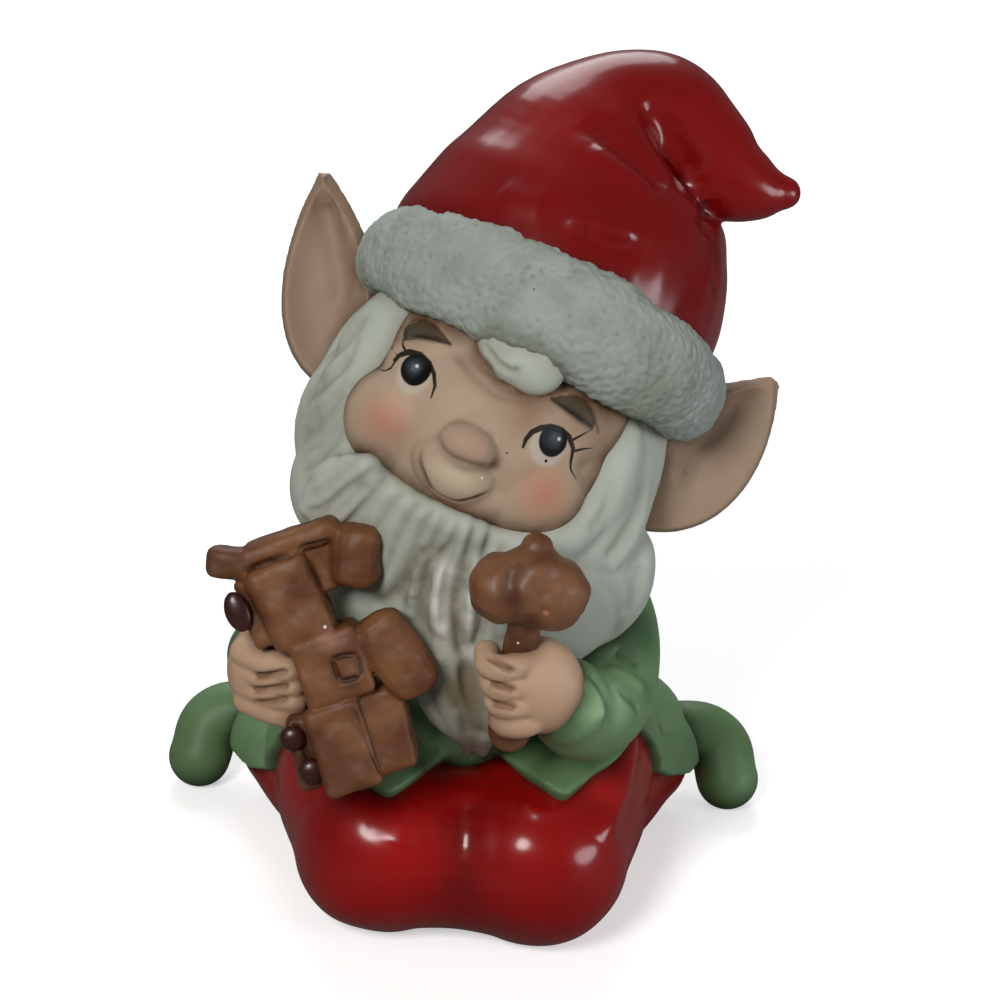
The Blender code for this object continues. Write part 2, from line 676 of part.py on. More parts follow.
# The hole in the base through which the slip was poured out
def vent_cutter():
    bpy.ops.mesh.primitive_cylinder_add(vertices=32, radius=VENT_RADIUS, depth=2 * VENT_DEPTH,
                                        location=(0, VENT_BACK, 0))
    return bpy.context.object


def paint(name, colour, roughness):
    material = bpy.data.materials.new(name)
    material.use_nodes = True
    shader = material.node_tree.nodes["Principled BSDF"]
    shader.inputs["Base Color"].default_value = (*colour, 1)
    shader.inputs["Roughness"].default_value = roughness
    shader.inputs["Metallic"].default_value = 0
    material.diffuse_color = (*colour, 1)
    return material


# Every face takes the paint of the form that it lies nearest to
def paint_zones(body, zones):
    skins = [skin_of(forms) for forms in zones.values()]
    for name in zones:
        body.data.materials.append(paint(name, *PAINTS[name]))
    for face_of_body in body.data.polygons:
        distances = [skin.find_nearest(face_of_body.center)[3] for skin in skins]
        face_of_body.material_index = distances.index(min(distances))


def build():
    for thing in list(bpy.data.objects):
        bpy.data.objects.remove(thing)
    figure = bpy.data.collections.new("elf_figurine")
    cutters = bpy.data.collections.new("cutters")
    for shelf in (figure, cutters):
        bpy.context.scene.collection.children.link(shelf)
    legs = trousers()
    torso = chest()
    crown = skull()
    whiskers = beard_body()
    zones = {
        "trousers": legs,
        "boots": boots(),
        "jacket": torso + [skirt(legs + torso)] + sleeves(),
        "skin": face() + [ear(-1), ear(1)] + hands(),
        "hair": crown + whiskers + beard(crown + whiskers) + hair(crown),
        "trim": [trim()],
        "hat": hat(),
        "wood": mallet() + toy(),
    }
    forms = [form for zone in zones.values() for form in zone]
    body = fuse("elf_figurine", forms)
    paint_zones(body, zones)
    for form in forms:
        bpy.data.objects.remove(form)
    bpy.context.scene.collection.objects.unlink(body)
    figure.objects.link(body)
    carve(body, floor_cutter(), "floor_cut", cutters)
    carve(body, vent_cutter(), "vent_cut", cutters)
    body.data.shade_smooth()


build()
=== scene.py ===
# The looks of the kneeling porcelain elf: each painted part of the casting as one closed piece.
import math

import bmesh
import bpy
import numpy as np
from mathutils import Matrix, Vector, noise
from mathutils.bvhtree import BVHTree


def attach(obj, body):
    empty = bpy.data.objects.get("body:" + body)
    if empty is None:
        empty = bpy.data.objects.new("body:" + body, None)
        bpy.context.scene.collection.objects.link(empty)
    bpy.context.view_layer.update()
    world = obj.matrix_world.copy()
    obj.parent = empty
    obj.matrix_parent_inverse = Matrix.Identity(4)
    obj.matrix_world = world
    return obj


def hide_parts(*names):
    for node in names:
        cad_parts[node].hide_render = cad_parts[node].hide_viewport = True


mm = 0.001
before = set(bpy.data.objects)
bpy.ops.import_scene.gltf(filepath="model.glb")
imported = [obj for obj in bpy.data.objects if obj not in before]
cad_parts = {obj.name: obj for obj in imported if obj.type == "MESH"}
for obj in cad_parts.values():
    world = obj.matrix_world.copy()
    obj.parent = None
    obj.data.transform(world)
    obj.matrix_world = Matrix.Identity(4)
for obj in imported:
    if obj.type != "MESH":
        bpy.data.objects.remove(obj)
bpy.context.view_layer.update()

# The head leans back and tilts to the elf's left
head = {"centre": (-1.4, -6.0, 66.0), "leanBack": 25.0, "tilt": 25.5}
headFrame = (
    Matrix.Translation(Vector(head["centre"]) * mm)
    @ Matrix.Rotation(math.radians(-head["leanBack"]), 4, "X")
    @ Matrix.Rotation(math.radians(head["tilt"]), 4, "Y")
)
toyFrame = (
    Matrix.Translation(Vector((-17.2, -29.0, 44.0)) * mm)
    @ Matrix.Rotation(math.radians(-20), 4, "X")
    @ Matrix.Rotation(math.radians(-22), 4, "Y")
)
worldFrame = Matrix()

# The front view that the brush lines are given in: 1000 units across, x to the right and y down
sight = {"target": (-1.2, -3.0, 52.0), "distance": 400.0, "elevation": 27.0, "roll": 2.5,
         "units": 1000, "unitsPerSlope": 2980.0, "targetAt": (466.0, 520.0)}


def sightAxes():
    rise = math.radians(sight["elevation"])
    roll = math.radians(sight["roll"])
    right = Vector((1, 0, 0))
    up = Vector((0, math.sin(rise), math.cos(rise)))
    back = Vector((0, -math.cos(rise), math.sin(rise)))
    return right * math.cos(roll) + up * math.sin(roll), up * math.cos(roll) - right * math.sin(roll), back


sightRight, sightUp, sightBack = sightAxes()
sightEye = (Vector(sight["target"]) + sightBack * sight["distance"]) * mm


def sightRay(x, y):
    across = (x - sight["targetAt"][0]) / sight["unitsPerSlope"]
    down = (y - sight["targetAt"][1]) / sight["unitsPerSlope"]
    return (sightRight * across - sightUp * down - sightBack).normalized()


# A screen colour of 0 to 255 as the linear colour of a shader
def linear(colour):
    shares = [value / 255 for value in colour]
    return (*[share / 12.92 if share <= 0.04045 else ((share + 0.055) / 1.055) ** 2.4 for share in shares], 1)


# Clay forms: they are melted into one closed piece for each painted part
def formObject(mesh):
    form = bpy.data.objects.new("form", mesh)
    bpy.context.scene.collection.objects.link(form)
    return form


def ball(centre, radii, inFrame=worldFrame, turn=(0, 0, 0)):
    mesh = bpy.data.meshes.new("ball")
    clay = bmesh.new()
    bmesh.ops.create_uvsphere(clay, u_segments=72, v_segments=48, radius=1)
    clay.to_mesh(mesh)
    clay.free()
    spin = Matrix()
    for axis, degrees in zip("XYZ", turn):
        spin = Matrix.Rotation(math.radians(degrees), 4, axis) @ spin
    size = Matrix.Diagonal((*[radius * mm for radius in radii], 1))
    mesh.transform(inFrame @ Matrix.Translation(Vector(centre) * mm) @ spin @ size)
    return formObject(mesh)


# Each shape is (centre, radii) or (centre, radii, turn)
def balls(inFrame, *shapes):
    return [ball(shape[0], shape[1], inFrame, *shape[2:]) for shape in shapes]


def limb(points, radii, inFrame=worldFrame, rounded=(0, -1)):
    curve = bpy.data.curves.new("limb", "CURVE")
    curve.dimensions = "3D"
    curve.resolution_u = 24
    curve.bevel_resolution = 14
    curve.bevel_depth = 1
    curve.use_fill_caps = True
    spline = curve.splines.new("BEZIER")
    spline.radius_interpolation = "CARDINAL"
    spline.bezier_points.add(len(points) - 1)
    for knot, point, radius in zip(spline.bezier_points, points, radii):
        knot.co = inFrame @ (Vector(point) * mm)
        knot.radius = radius * mm
        knot.handle_left_type = "AUTO"
        knot.handle_right_type = "AUTO"
    tube = bpy.data.objects.new("limb", curve)
    bpy.context.scene.collection.objects.link(tube)
    mesh = bpy.data.meshes.new_from_object(tube.evaluated_get(bpy.context.evaluated_depsgraph_get()))
    clay = bmesh.new()
    clay.from_mesh(mesh)
    bmesh.ops.remove_doubles(clay, verts=clay.verts, dist=0.01 * mm)
    clay.to_mesh(mesh)
    clay.free()
    bpy.data.objects.remove(tube)
    forms = [formObject(mesh)]
    for end in rounded:
        middle = inFrame @ (Vector(points[end]) * mm)
        forms.append(ball(middle / mm, [radii[end]] * 3))
    return forms


def block(low, high, inFrame, roundBy=0.7, turn=0):
    centre = (Vector(low) + Vector(high)) / 2 * mm
    size = (Vector(high) - Vector(low)) * mm
    mesh = bpy.data.meshes.new("block")
    clay = bmesh.new()
    bmesh.ops.create_cube(clay, size=1)
    bmesh.ops.scale(clay, vec=size, verts=clay.verts)
    bmesh.ops.bevel(clay, geom=clay.edges, offset=roundBy * mm, segments=3, profile=0.5, affect="EDGES")
    clay.to_mesh(mesh)
    clay.free()
    mesh.transform(inFrame @ Matrix.Translation(centre) @ Matrix.Rotation(math.radians(turn), 4, "Y"))
    return formObject(mesh)


def treeOf(things):
    clay = bmesh.new()
    for thing in things:
        clay.from_mesh(thing.data)
    tree = BVHTree.FromBMesh(clay)
    clay.free()
    return tree


def settle(piece):
    mesh = bpy.data.meshes.new_from_object(piece.evaluated_get(bpy.context.evaluated_depsgraph_get()))
    piece.modifiers.clear()
    piece.data = mesh


# One closed piece out of forms: grain is the size of its faces in mm
def melt(name, forms, grain, smoothing):
    depsgraph = bpy.context.evaluated_depsgraph_get()
    clay = bmesh.new()
    for form in forms:
        mesh = bpy.data.meshes.new_from_object(form.evaluated_get(depsgraph))
        clay.from_mesh(mesh)
        bpy.data.meshes.remove(mesh)
        bpy.data.objects.remove(form)
    joined = bpy.data.meshes.new(name)
    clay.to_mesh(joined)
    clay.free()
    piece = bpy.data.objects.new(name, joined)
    bpy.context.scene.collection.objects.link(piece)
    remesh = piece.modifiers.new("melt", "REMESH")
    remesh.mode = "VOXEL"
    remesh.voxel_size = grain * mm
    if smoothing:
        soften = piece.modifiers.new("soften", "SMOOTH")
        soften.factor = 0.5
        soften.iterations = smoothing
    settle(piece)
    piece.data.materials.clear()
    return piece


def readPoints(piece):
    points = np.empty(len(piece.data.vertices) * 3)
    piece.data.vertices.foreach_get("co", points)
    return points.reshape(-1, 3)


def readNormals(piece):
    normals = np.empty(len(piece.data.vertices) * 3)
    piece.data.vertices.foreach_get("normal", normals)
    return normals.reshape(-1, 3)


def movePoints(piece, points):
    piece.data.vertices.foreach_set("co", points.ravel())
    piece.data.update()


def keepMask(piece, name, values):
    layer = piece.data.attributes.get(name) or piece.data.attributes.new(name, "FLOAT", "POINT")
    layer.data.foreach_set("value", values.astype(np.float32))


def readMask(piece, name):
    values = np.zeros(len(piece.data.vertices))
    layer = piece.data.attributes.get(name)
    if layer:
        layer.data.foreach_get("value", values)
    return values


# A smooth curve through knots of any size, as a list of places
def curveThrough(knots, parts=7):
    knots = [Vector(knot) for knot in knots]
    knots = [knots[0] * 2 - knots[1]] + knots + [knots[-1] * 2 - knots[-2]]
    places = []
    for k in range(1, len(knots) - 2):
        before, here, after, last = knots[k - 1:k + 3]
        for part in range(parts + (k == len(knots) - 3)):
            t = part / parts
            places.append(0.5 * (2 * here + (after - before) * t
                                 + (2 * before - 5 * here + 4 * after - last) * t * t
                                 + (3 * here - before - 3 * after + last) * t ** 3))
    return places


# A pressed line: how far it reaches, in widths, how it thins at its ends, and the wider rim it pushes up
pressed = {"reach": 3.2, "endShare": 0.02, "fade": 2.2, "rimWidth": 2.1, "rimHeight": 0.35, "rimStain": 0.5}


# A smooth path through places of the front view, laid on the piece as points in space
def lay(tree, path):
    laid = []
    for place in curveThrough(path):
        hit = tree.ray_cast(sightEye, sightRay(*place))[0]
        if hit is not None:
            laid.append(hit)
    return laid


# How near each point is to a laid path: 1 on it and 0 beyond its width, thinning out at the path's ends
def nearPath(points, laid, width):
    near = np.zeros(len(points))
    if len(laid) < 2:
        return near
    path = np.array([tuple(place) for place in laid])
    reach = pressed["reach"] * width
    low, high = path.min(0) - reach, path.max(0) + reach
    chosen = np.nonzero(((points > low) & (points < high)).all(1))[0]
    if not len(chosen):
        return near
    best = np.full(len(chosen), 1e9)
    share = np.zeros(len(chosen))
    steps = len(path) - 1
    for k in range(steps):
        along = path[k + 1] - path[k]
        t = np.clip(((points[chosen] - path[k]) @ along) / max(along @ along, 1e-12), 0, 1)
        gap = np.linalg.norm(points[chosen] - path[k] - t[:, None] * along, axis=1)
        closer = gap < best
        best[closer] = gap[closer]
        share[closer] = (k + t[closer]) / steps
    inside = np.sin(np.pi * np.clip(share, pressed["endShare"], 1 - pressed["endShare"]))
    near[chosen] = np.exp(-(best / width) ** 2) * np.clip(inside * pressed["fade"], 0, 1)
    return near


# Lines pressed into the clay or raised from it: (path, width mm, depth mm, stain); a depth below 0 is raised
def draw(piece, lines):
    tree = treeOf([piece])
    points = readPoints(piece)
    normals = readNormals(piece)
    shift = np.zeros(len(points))
    stain = readMask(piece, "stain")
    for path, width, depth, amount in lines:
        laid = lay(tree, path)
        near = nearPath(points, laid, width * mm)
        wide = nearPath(points, laid, width * pressed["rimWidth"] * mm)
        shift -= near * depth * mm
        shift += np.clip(wide - near, 0, 1) * depth * pressed["rimHeight"] * mm
        stain = np.maximum(stain, (near + (wide - near) * pressed["rimStain"]) * amount)
    movePoints(piece, points + normals * shift[:, None])
    keepMask(piece, "stain", stain)


# The slight waves of a hand-finished cast, as heights in mm over a length in mm
def ripple(piece, height, length):
    points = readPoints(piece)
    waves = np.array([noise.noise(Vector(point) / (length * mm)) for point in points])
    movePoints(piece, points + readNormals(piece) * (waves * height * mm)[:, None])


# How hollow the surface is, in mm, from how far a smoothed copy stands out from it
def markCavity(piece, rounds=14):
    points = readPoints(piece)
    count = len(points)
    edges = np.empty(len(piece.data.edges) * 2, dtype=np.int64)
    piece.data.edges.foreach_get("vertices", edges)
    a, b = edges.reshape(-1, 2).T
    valence = np.bincount(a, minlength=count) + np.bincount(b, minlength=count)
    smooth = points.copy()
    for _ in range(rounds):
        total = np.empty_like(smooth)
        for axis in range(3):
            total[:, axis] = (np.bincount(a, smooth[b, axis], minlength=count)
                              + np.bincount(b, smooth[a, axis], minlength=count))
        smooth = 0.5 * smooth + 0.5 * total / valence[:, None]
    hollow = ((smooth - points) * readNormals(piece)).sum(1) / mm
    keepMask(piece, "cavity", hollow)


# How near the surface is to its neighbours: 1 in touch and 0 beyond the reach; the wash paints shade by it
# where parts meet
def markContact(piece, others, reach):
    tree = treeOf(others)
    points = readPoints(piece)
    near = np.zeros(len(points))
    for k, point in enumerate(points):
        gap = tree.find_nearest(Vector(point), reach * mm)[3]
        if gap is not None:
            near[k] = 1 - gap / (reach * mm)
    keepMask(piece, "contact", near)


# Shader groups
def newGroup(name, inputs, outputs):
    tree = bpy.data.node_groups.new(name, "ShaderNodeTree")
    for label, kind, value in inputs:
        socket = tree.interface.new_socket(label, in_out="INPUT", socket_type="NodeSocket" + kind)
        if value is not None:
            socket.default_value = value
    for label, kind in outputs:
        tree.interface.new_socket(label, in_out="OUTPUT", socket_type="NodeSocket" + kind)
    return tree, tree.nodes.new("NodeGroupInput"), tree.nodes.new("NodeGroupOutput")


def sums(tree, operation, *values, clamp=False):
    node = tree.nodes.new("ShaderNodeMath")
    node.operation = operation
    node.use_clamp = clamp
    for socket, value in zip(node.inputs, values):
        if isinstance(value, (int, float)):
            socket.default_value = value
        else:
            tree.links.new(value, socket)
    return node.outputs[0]


# Each wire is (from node, output, to node, input)
def wire(tree, *wires):
    for source, output, target, into in wires:
        tree.links.new(source.outputs[output], target.inputs[into])


# A Geometry Nodes tree with its sockets; the numbers are (name, kind, value)
def newGeometryTree(name, surface, numbers, result):
    tree = bpy.data.node_groups.new(name, "GeometryNodeTree")
    for label, kind, value in ((surface, "Geometry", None), *numbers, ("Material", "Material", None)):
        socket = tree.interface.new_socket(label, in_out="INPUT", socket_type="NodeSocket" + kind)
        if value is not None:
            socket.default_value = value
    tree.interface.new_socket(result, in_out="OUTPUT", socket_type="NodeSocketGeometry")
    return tree, tree.nodes.new("NodeGroupInput"), tree.nodes.new("NodeGroupOutput")


# Puts the tree on the piece with its numbers set by socket identifier, and makes the result a plain mesh
def growNodes(piece, tree, chosen):
    modifier = piece.modifiers.new(tree.name, "NODES")
    modifier.node_group = tree
    for item in tree.interface.items_tree:
        if item.item_type == "SOCKET" and item.in_out == "INPUT" and item.name in chosen:
            modifier[item.identifier] = chosen[item.name]
    settle(piece)


def vectors(tree, operation, *values):
    node = tree.nodes.new("ShaderNodeVectorMath")
    node.operation = operation
    for socket, value in zip(node.inputs, values):
        if isinstance(value, (tuple, list)):
            socket.default_value = value
        else:
            tree.links.new(value, socket)
    return node.outputs["Value"] if operation in ("DOT_PRODUCT", "DISTANCE") else node.outputs[0]


def blendColours(tree, share, first, second):
    node = tree.nodes.new("ShaderNodeMix")
    node.data_type = "RGBA"
    for socket, value in ((node.inputs[0], share), (node.inputs[6], first), (node.inputs[7], second)):
        if isinstance(value, (int, float, tuple)):
            socket.default_value = value
        else:
            tree.links.new(value, socket)
    return node.outputs[2]


def ranged(tree, value, low, high, start=0.0, stop=1.0):
    node = tree.nodes.new("ShaderNodeMapRange")
    node.interpolation_type = "SMOOTHSTEP"
    for socket, setting in zip(node.inputs, (value, low, high, start, stop)):
        if isinstance(setting, (int, float)):
            socket.default_value = setting
        else:
            tree.links.new(setting, socket)
    return node.outputs[0]


# Where a place of the front view meets a piece
def spotOn(tree, place):
    hit = tree.ray_cast(sightEye, sightRay(*place))[0]
    return hit if hit is not None else Vector((0, 0, 1))


def useGroup(tree, group, **values):
    node = tree.nodes.new("ShaderNodeGroup")
    node.node_tree = group
    for label, value in values.items():
        socket = node.inputs[label.replace("_", " ")]
        if isinstance(value, (int, float, tuple, list, Vector)):
            socket.default_value = value
        else:
            tree.links.new(value, socket)
    return node


# Noise laid out by the piece's own coordinates
def noiseNode(tree, scale, detail):
    place = tree.nodes.new("ShaderNodeTexCoord").outputs["Object"]
    node = tree.nodes.new("ShaderNodeTexNoise")
    node.inputs["Detail"].default_value = detail
    tree.links.new(place, node.inputs["Vector"])
    if isinstance(scale, (int, float)):
        node.inputs["Scale"].default_value = scale
    else:
        tree.links.new(scale, node.inputs["Scale"])
    return node.outputs["Fac"]


# A tapering brush line between two points in space
def makeBrushLine():
    tree, given, out = newGroup(
        "brushLine",
        (("Point", "Vector", None), ("From", "Vector", None), ("To", "Vector", None),
         ("Start width", "Float", 0.0003), ("End width", "Float", 0.0002), ("Softness", "Float", 0.00008)),
        (("Mask", "Float"),))
    along = vectors(tree, "SUBTRACT", given.outputs["To"], given.outputs["From"])
    away = vectors(tree, "SUBTRACT", given.outputs["Point"], given.outputs["From"])
    length = vectors(tree, "DOT_PRODUCT", along, along)
    share = sums(tree, "DIVIDE", vectors(tree, "DOT_PRODUCT", away, along), length, clamp=True)
    scaled = tree.nodes.new("ShaderNodeVectorMath")
    scaled.operation = "SCALE"
    tree.links.new(along, scaled.inputs[0])
    tree.links.new(share, scaled.inputs["Scale"])
    gap = vectors(tree, "DISTANCE", away, scaled.outputs[0])
    change = sums(tree, "SUBTRACT", given.outputs["End width"], given.outputs["Start width"])
    width = sums(tree, "MULTIPLY_ADD", change, share, given.outputs["Start width"])
    half = sums(tree, "MULTIPLY", width, 0.5)
    inner = sums(tree, "SUBTRACT", half, given.outputs["Softness"])
    outer = sums(tree, "ADD", half, given.outputs["Softness"])
    tree.links.new(ranged(tree, gap, inner, outer, 1.0, 0.0), out.inputs["Mask"])
    return tree


# A round dab of the brush
def makeDab():
    tree, given, out = newGroup(
        "dab",
        (("Point", "Vector", None), ("Centre", "Vector", None), ("Radius", "Float", 0.001),
         ("Softness", "Float", 0.0001)),
        (("Mask", "Float"),))
    gap = vectors(tree, "DISTANCE", given.outputs["Point"], given.outputs["Centre"])
    inner = sums(tree, "SUBTRACT", given.outputs["Radius"], given.outputs["Softness"])
    outer = sums(tree, "ADD", given.outputs["Radius"], given.outputs["Softness"])
    tree.links.new(ranged(tree, gap, inner, outer, 1.0, 0.0), out.inputs["Mask"])
    return tree


# Darkening of hollows, pressed lines and the places where two parts meet: partly the thin dark wash of paint
# that stays in the creases, and partly painted shade
washAndShade = {"cavityFrom": 0.02, "contactPower": 1.6, "patchScale": 420, "patchRange": (0.25, 0.75, 0.72, 1.15)}


def makeWashAndShade():
    tree, given, out = newGroup(
        "grooveWashAndShade",
        (("Color", "Color", (0.5, 0.5, 0.5, 1)), ("Wash color", "Color", (0.1, 0.07, 0.04, 1)),
         ("Hollow reach", "Float", 0.25), ("Hollow amount", "Float", 0.6),
         ("Contact amount", "Float", 0.6), ("Line amount", "Float", 0.8)),
        (("Color", "Color"),))
    masks = {}
    for name in ("cavity", "contact", "stain"):
        layer = tree.nodes.new("ShaderNodeAttribute")
        layer.attribute_type = "GEOMETRY"
        layer.attribute_name = name
        masks[name] = layer.outputs["Fac"]
    patchy = noiseNode(tree, washAndShade["patchScale"], 3)
    uneven = ranged(tree, patchy, *washAndShade["patchRange"])
    # Hollows and places in touch with other parts get the wash and painted shade; stained lines darken too
    hollow = ranged(tree, masks["cavity"], washAndShade["cavityFrom"], given.outputs["Hollow reach"])
    touch = sums(tree, "POWER", masks["contact"], washAndShade["contactPower"])
    mask = sums(tree, "MULTIPLY", hollow, given.outputs["Hollow amount"])
    mask = sums(tree, "MAXIMUM", mask, sums(tree, "MULTIPLY", touch, given.outputs["Contact amount"]))
    mask = sums(tree, "MAXIMUM", mask, sums(tree, "MULTIPLY", masks["stain"], given.outputs["Line amount"]))
    mask = sums(tree, "MULTIPLY", mask, uneven, clamp=True)
    colour = blendColours(tree, mask, given.outputs["Color"], given.outputs["Wash color"])
    tree.links.new(colour, out.inputs["Color"])
    return tree


# Uneven paint: broad light and dark patches and fine dark specks from the kiln, and painted shade that darkens
# the colour towards the bottom, below given heights
kiln = {"patchRange": (0.35, 0.68), "lowShadeWander": 0.01, "speckScale": 160, "speckRarity": 0.93,
        "speckRadius": (0.026, 0.008), "grainScale": 2600}


def makeFiredPaintAndLowShade():
    tree, given, out = newGroup(
        "firedPaintAndLowShade",
        (("Color", "Color", (0.5, 0.5, 0.5, 1)), ("Patch color", "Color", (0.4, 0.4, 0.4, 1)),
         ("Patch amount", "Float", 0.5), ("Patch scale", "Float", 90.0),
         ("Speck color", "Color", (0.02, 0.015, 0.01, 1)), ("Speck amount", "Float", 0.8),
         ("Low color", "Color", (0.5, 0.5, 0.5, 1)), ("Low amount", "Float", 0.0),
         ("Low height", "Float", 0.0), ("High height", "Float", 0.01)),
        (("Color", "Color"), ("Grain", "Float")))
    place = tree.nodes.new("ShaderNodeTexCoord").outputs["Object"]
    broad = noiseNode(tree, given.outputs["Patch scale"], 4)
    patches = sums(tree, "MULTIPLY", ranged(tree, broad, *kiln["patchRange"]), given.outputs["Patch amount"])
    colour = blendColours(tree, patches, given.outputs["Color"], given.outputs["Patch color"])
    # Painted shade: below the low height the colour turns to the low colour, fading out up to the high height
    split = tree.nodes.new("ShaderNodeSeparateXYZ")
    tree.links.new(place, split.inputs[0])
    uneven = sums(tree, "MULTIPLY_ADD", broad, kiln["lowShadeWander"], split.outputs["Z"])
    lowShadeShare = ranged(tree, uneven, given.outputs["Low height"], given.outputs["High height"], 1.0, 0.0)
    colour = blendColours(tree, sums(tree, "MULTIPLY", lowShadeShare, given.outputs["Low amount"]), colour,
                          given.outputs["Low color"])
    cells = tree.nodes.new("ShaderNodeTexVoronoi")
    cells.inputs["Scale"].default_value = kiln["speckScale"]
    tree.links.new(place, cells.inputs["Vector"])
    chance = tree.nodes.new("ShaderNodeSeparateColor")
    tree.links.new(cells.outputs["Color"], chance.inputs[0])
    rare = sums(tree, "GREATER_THAN", chance.outputs[0], kiln["speckRarity"])
    radius = sums(tree, "MULTIPLY_ADD", chance.outputs[1], *kiln["speckRadius"])
    dot = sums(tree, "LESS_THAN", cells.outputs["Distance"], radius)
    specks = sums(tree, "MULTIPLY", sums(tree, "MULTIPLY", dot, rare), given.outputs["Speck amount"])
    colour = blendColours(tree, specks, colour, given.outputs["Speck color"])
    tree.links.new(colour, out.inputs["Color"])
    tree.links.new(noiseNode(tree, kiln["grainScale"], 3), out.inputs["Grain"])
    return tree


brushLine = makeBrushLine()
dab = makeDab()
grooveWashAndShade = makeWashAndShade()
firedPaintAndLowShade = makeFiredPaintAndLowShade()
print("shader groups ready")


# What a piece's dictionary leaves out: amounts from 0 to 1, heights in mm
plainLooks = {
    "patchAmount": 0.6, "patchScale": 90.0, "specks": 0.7, "lowShadeAmount": 0.0, "lowFrom": 0.0, "lowTo": 10.0,
    "airbrushPaintLightAndShade": (), "hollow": 0.5, "hollowReach": 0.25, "contact": 0.5, "line": 0.8, "roughness": 0.6,
    "specular": 0.4, "coat": 0.0, "coatRoughness": 0.04, "coatIor": 1.5, "bump": 0.2, "bumpDistance": 0.06,
}


# A painted finish: colours, dabs of paint and of painted light and shade, the wash with its painted shade, and
# gloss come from the piece's dictionary
def finish(piece, ownLooks, extra=None):
    looks = {**plainLooks, **ownLooks}
    material = bpy.data.materials.new(piece.name + "Paint")
    material.use_nodes = True
    tree = material.node_tree
    shader = tree.nodes["Principled BSDF"]
    paint = useGroup(tree, firedPaintAndLowShade, Color=linear(looks["color"]), Patch_color=linear(looks["patch"]),
                     Patch_amount=looks["patchAmount"], Patch_scale=looks["patchScale"],
                     Speck_amount=looks["specks"], Low_color=linear(looks.get("low", looks["color"])),
                     Low_amount=looks["lowShadeAmount"], Low_height=looks["lowFrom"] * mm,
                     High_height=looks["lowTo"] * mm)
    colour = paint.outputs["Color"]
    skin = treeOf([piece])
    point = tree.nodes.new("ShaderNodeTexCoord").outputs["Object"]
    # Dabs sprayed over the colour: some are the paint's own tone, many are painted highlights and painted
    # shade
    for place, radius, soft, tint, amount in looks["airbrushPaintLightAndShade"]:
        paintAndLightDab = useGroup(tree, dab, Point=point, Centre=spotOn(skin, place), Radius=radius * mm,
                         Softness=soft * mm)
        share = sums(tree, "MULTIPLY", paintAndLightDab.outputs[0], amount)
        colour = blendColours(tree, share, colour, linear(tint))
    if extra:
        colour = extra(tree, colour, shader)
    # The wash and the painted shade of hollows, lines and contacts go over the colour
    washedAndShaded = useGroup(tree, grooveWashAndShade, Color=colour, Wash_color=linear(looks["washAndShade"]),
                      Hollow_reach=looks["hollowReach"], Hollow_amount=looks["hollow"],
                      Contact_amount=looks["contact"], Line_amount=looks["line"])
    tree.links.new(washedAndShaded.outputs["Color"], shader.inputs["Base Color"])
    for socket, key in (("Roughness", "roughness"), ("Specular IOR Level", "specular"),
                        ("Coat Weight", "coat"), ("Coat Roughness", "coatRoughness"), ("Coat IOR", "coatIor")):
        shader.inputs[socket].default_value = looks[key]
    bump = tree.nodes.new("ShaderNodeBump")
    bump.inputs["Strength"].default_value = looks["bump"]
    bump.inputs["Distance"].default_value = looks["bumpDistance"] * mm
    tree.links.new(paint.outputs["Grain"], bump.inputs["Height"])
    tree.links.new(bump.outputs["Normal"], shader.inputs["Normal"])
    piece.data.materials.clear()
    piece.data.materials.append(material)
    piece.data.shade_smooth()
    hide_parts("elf_figurine")
    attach(piece, "root")


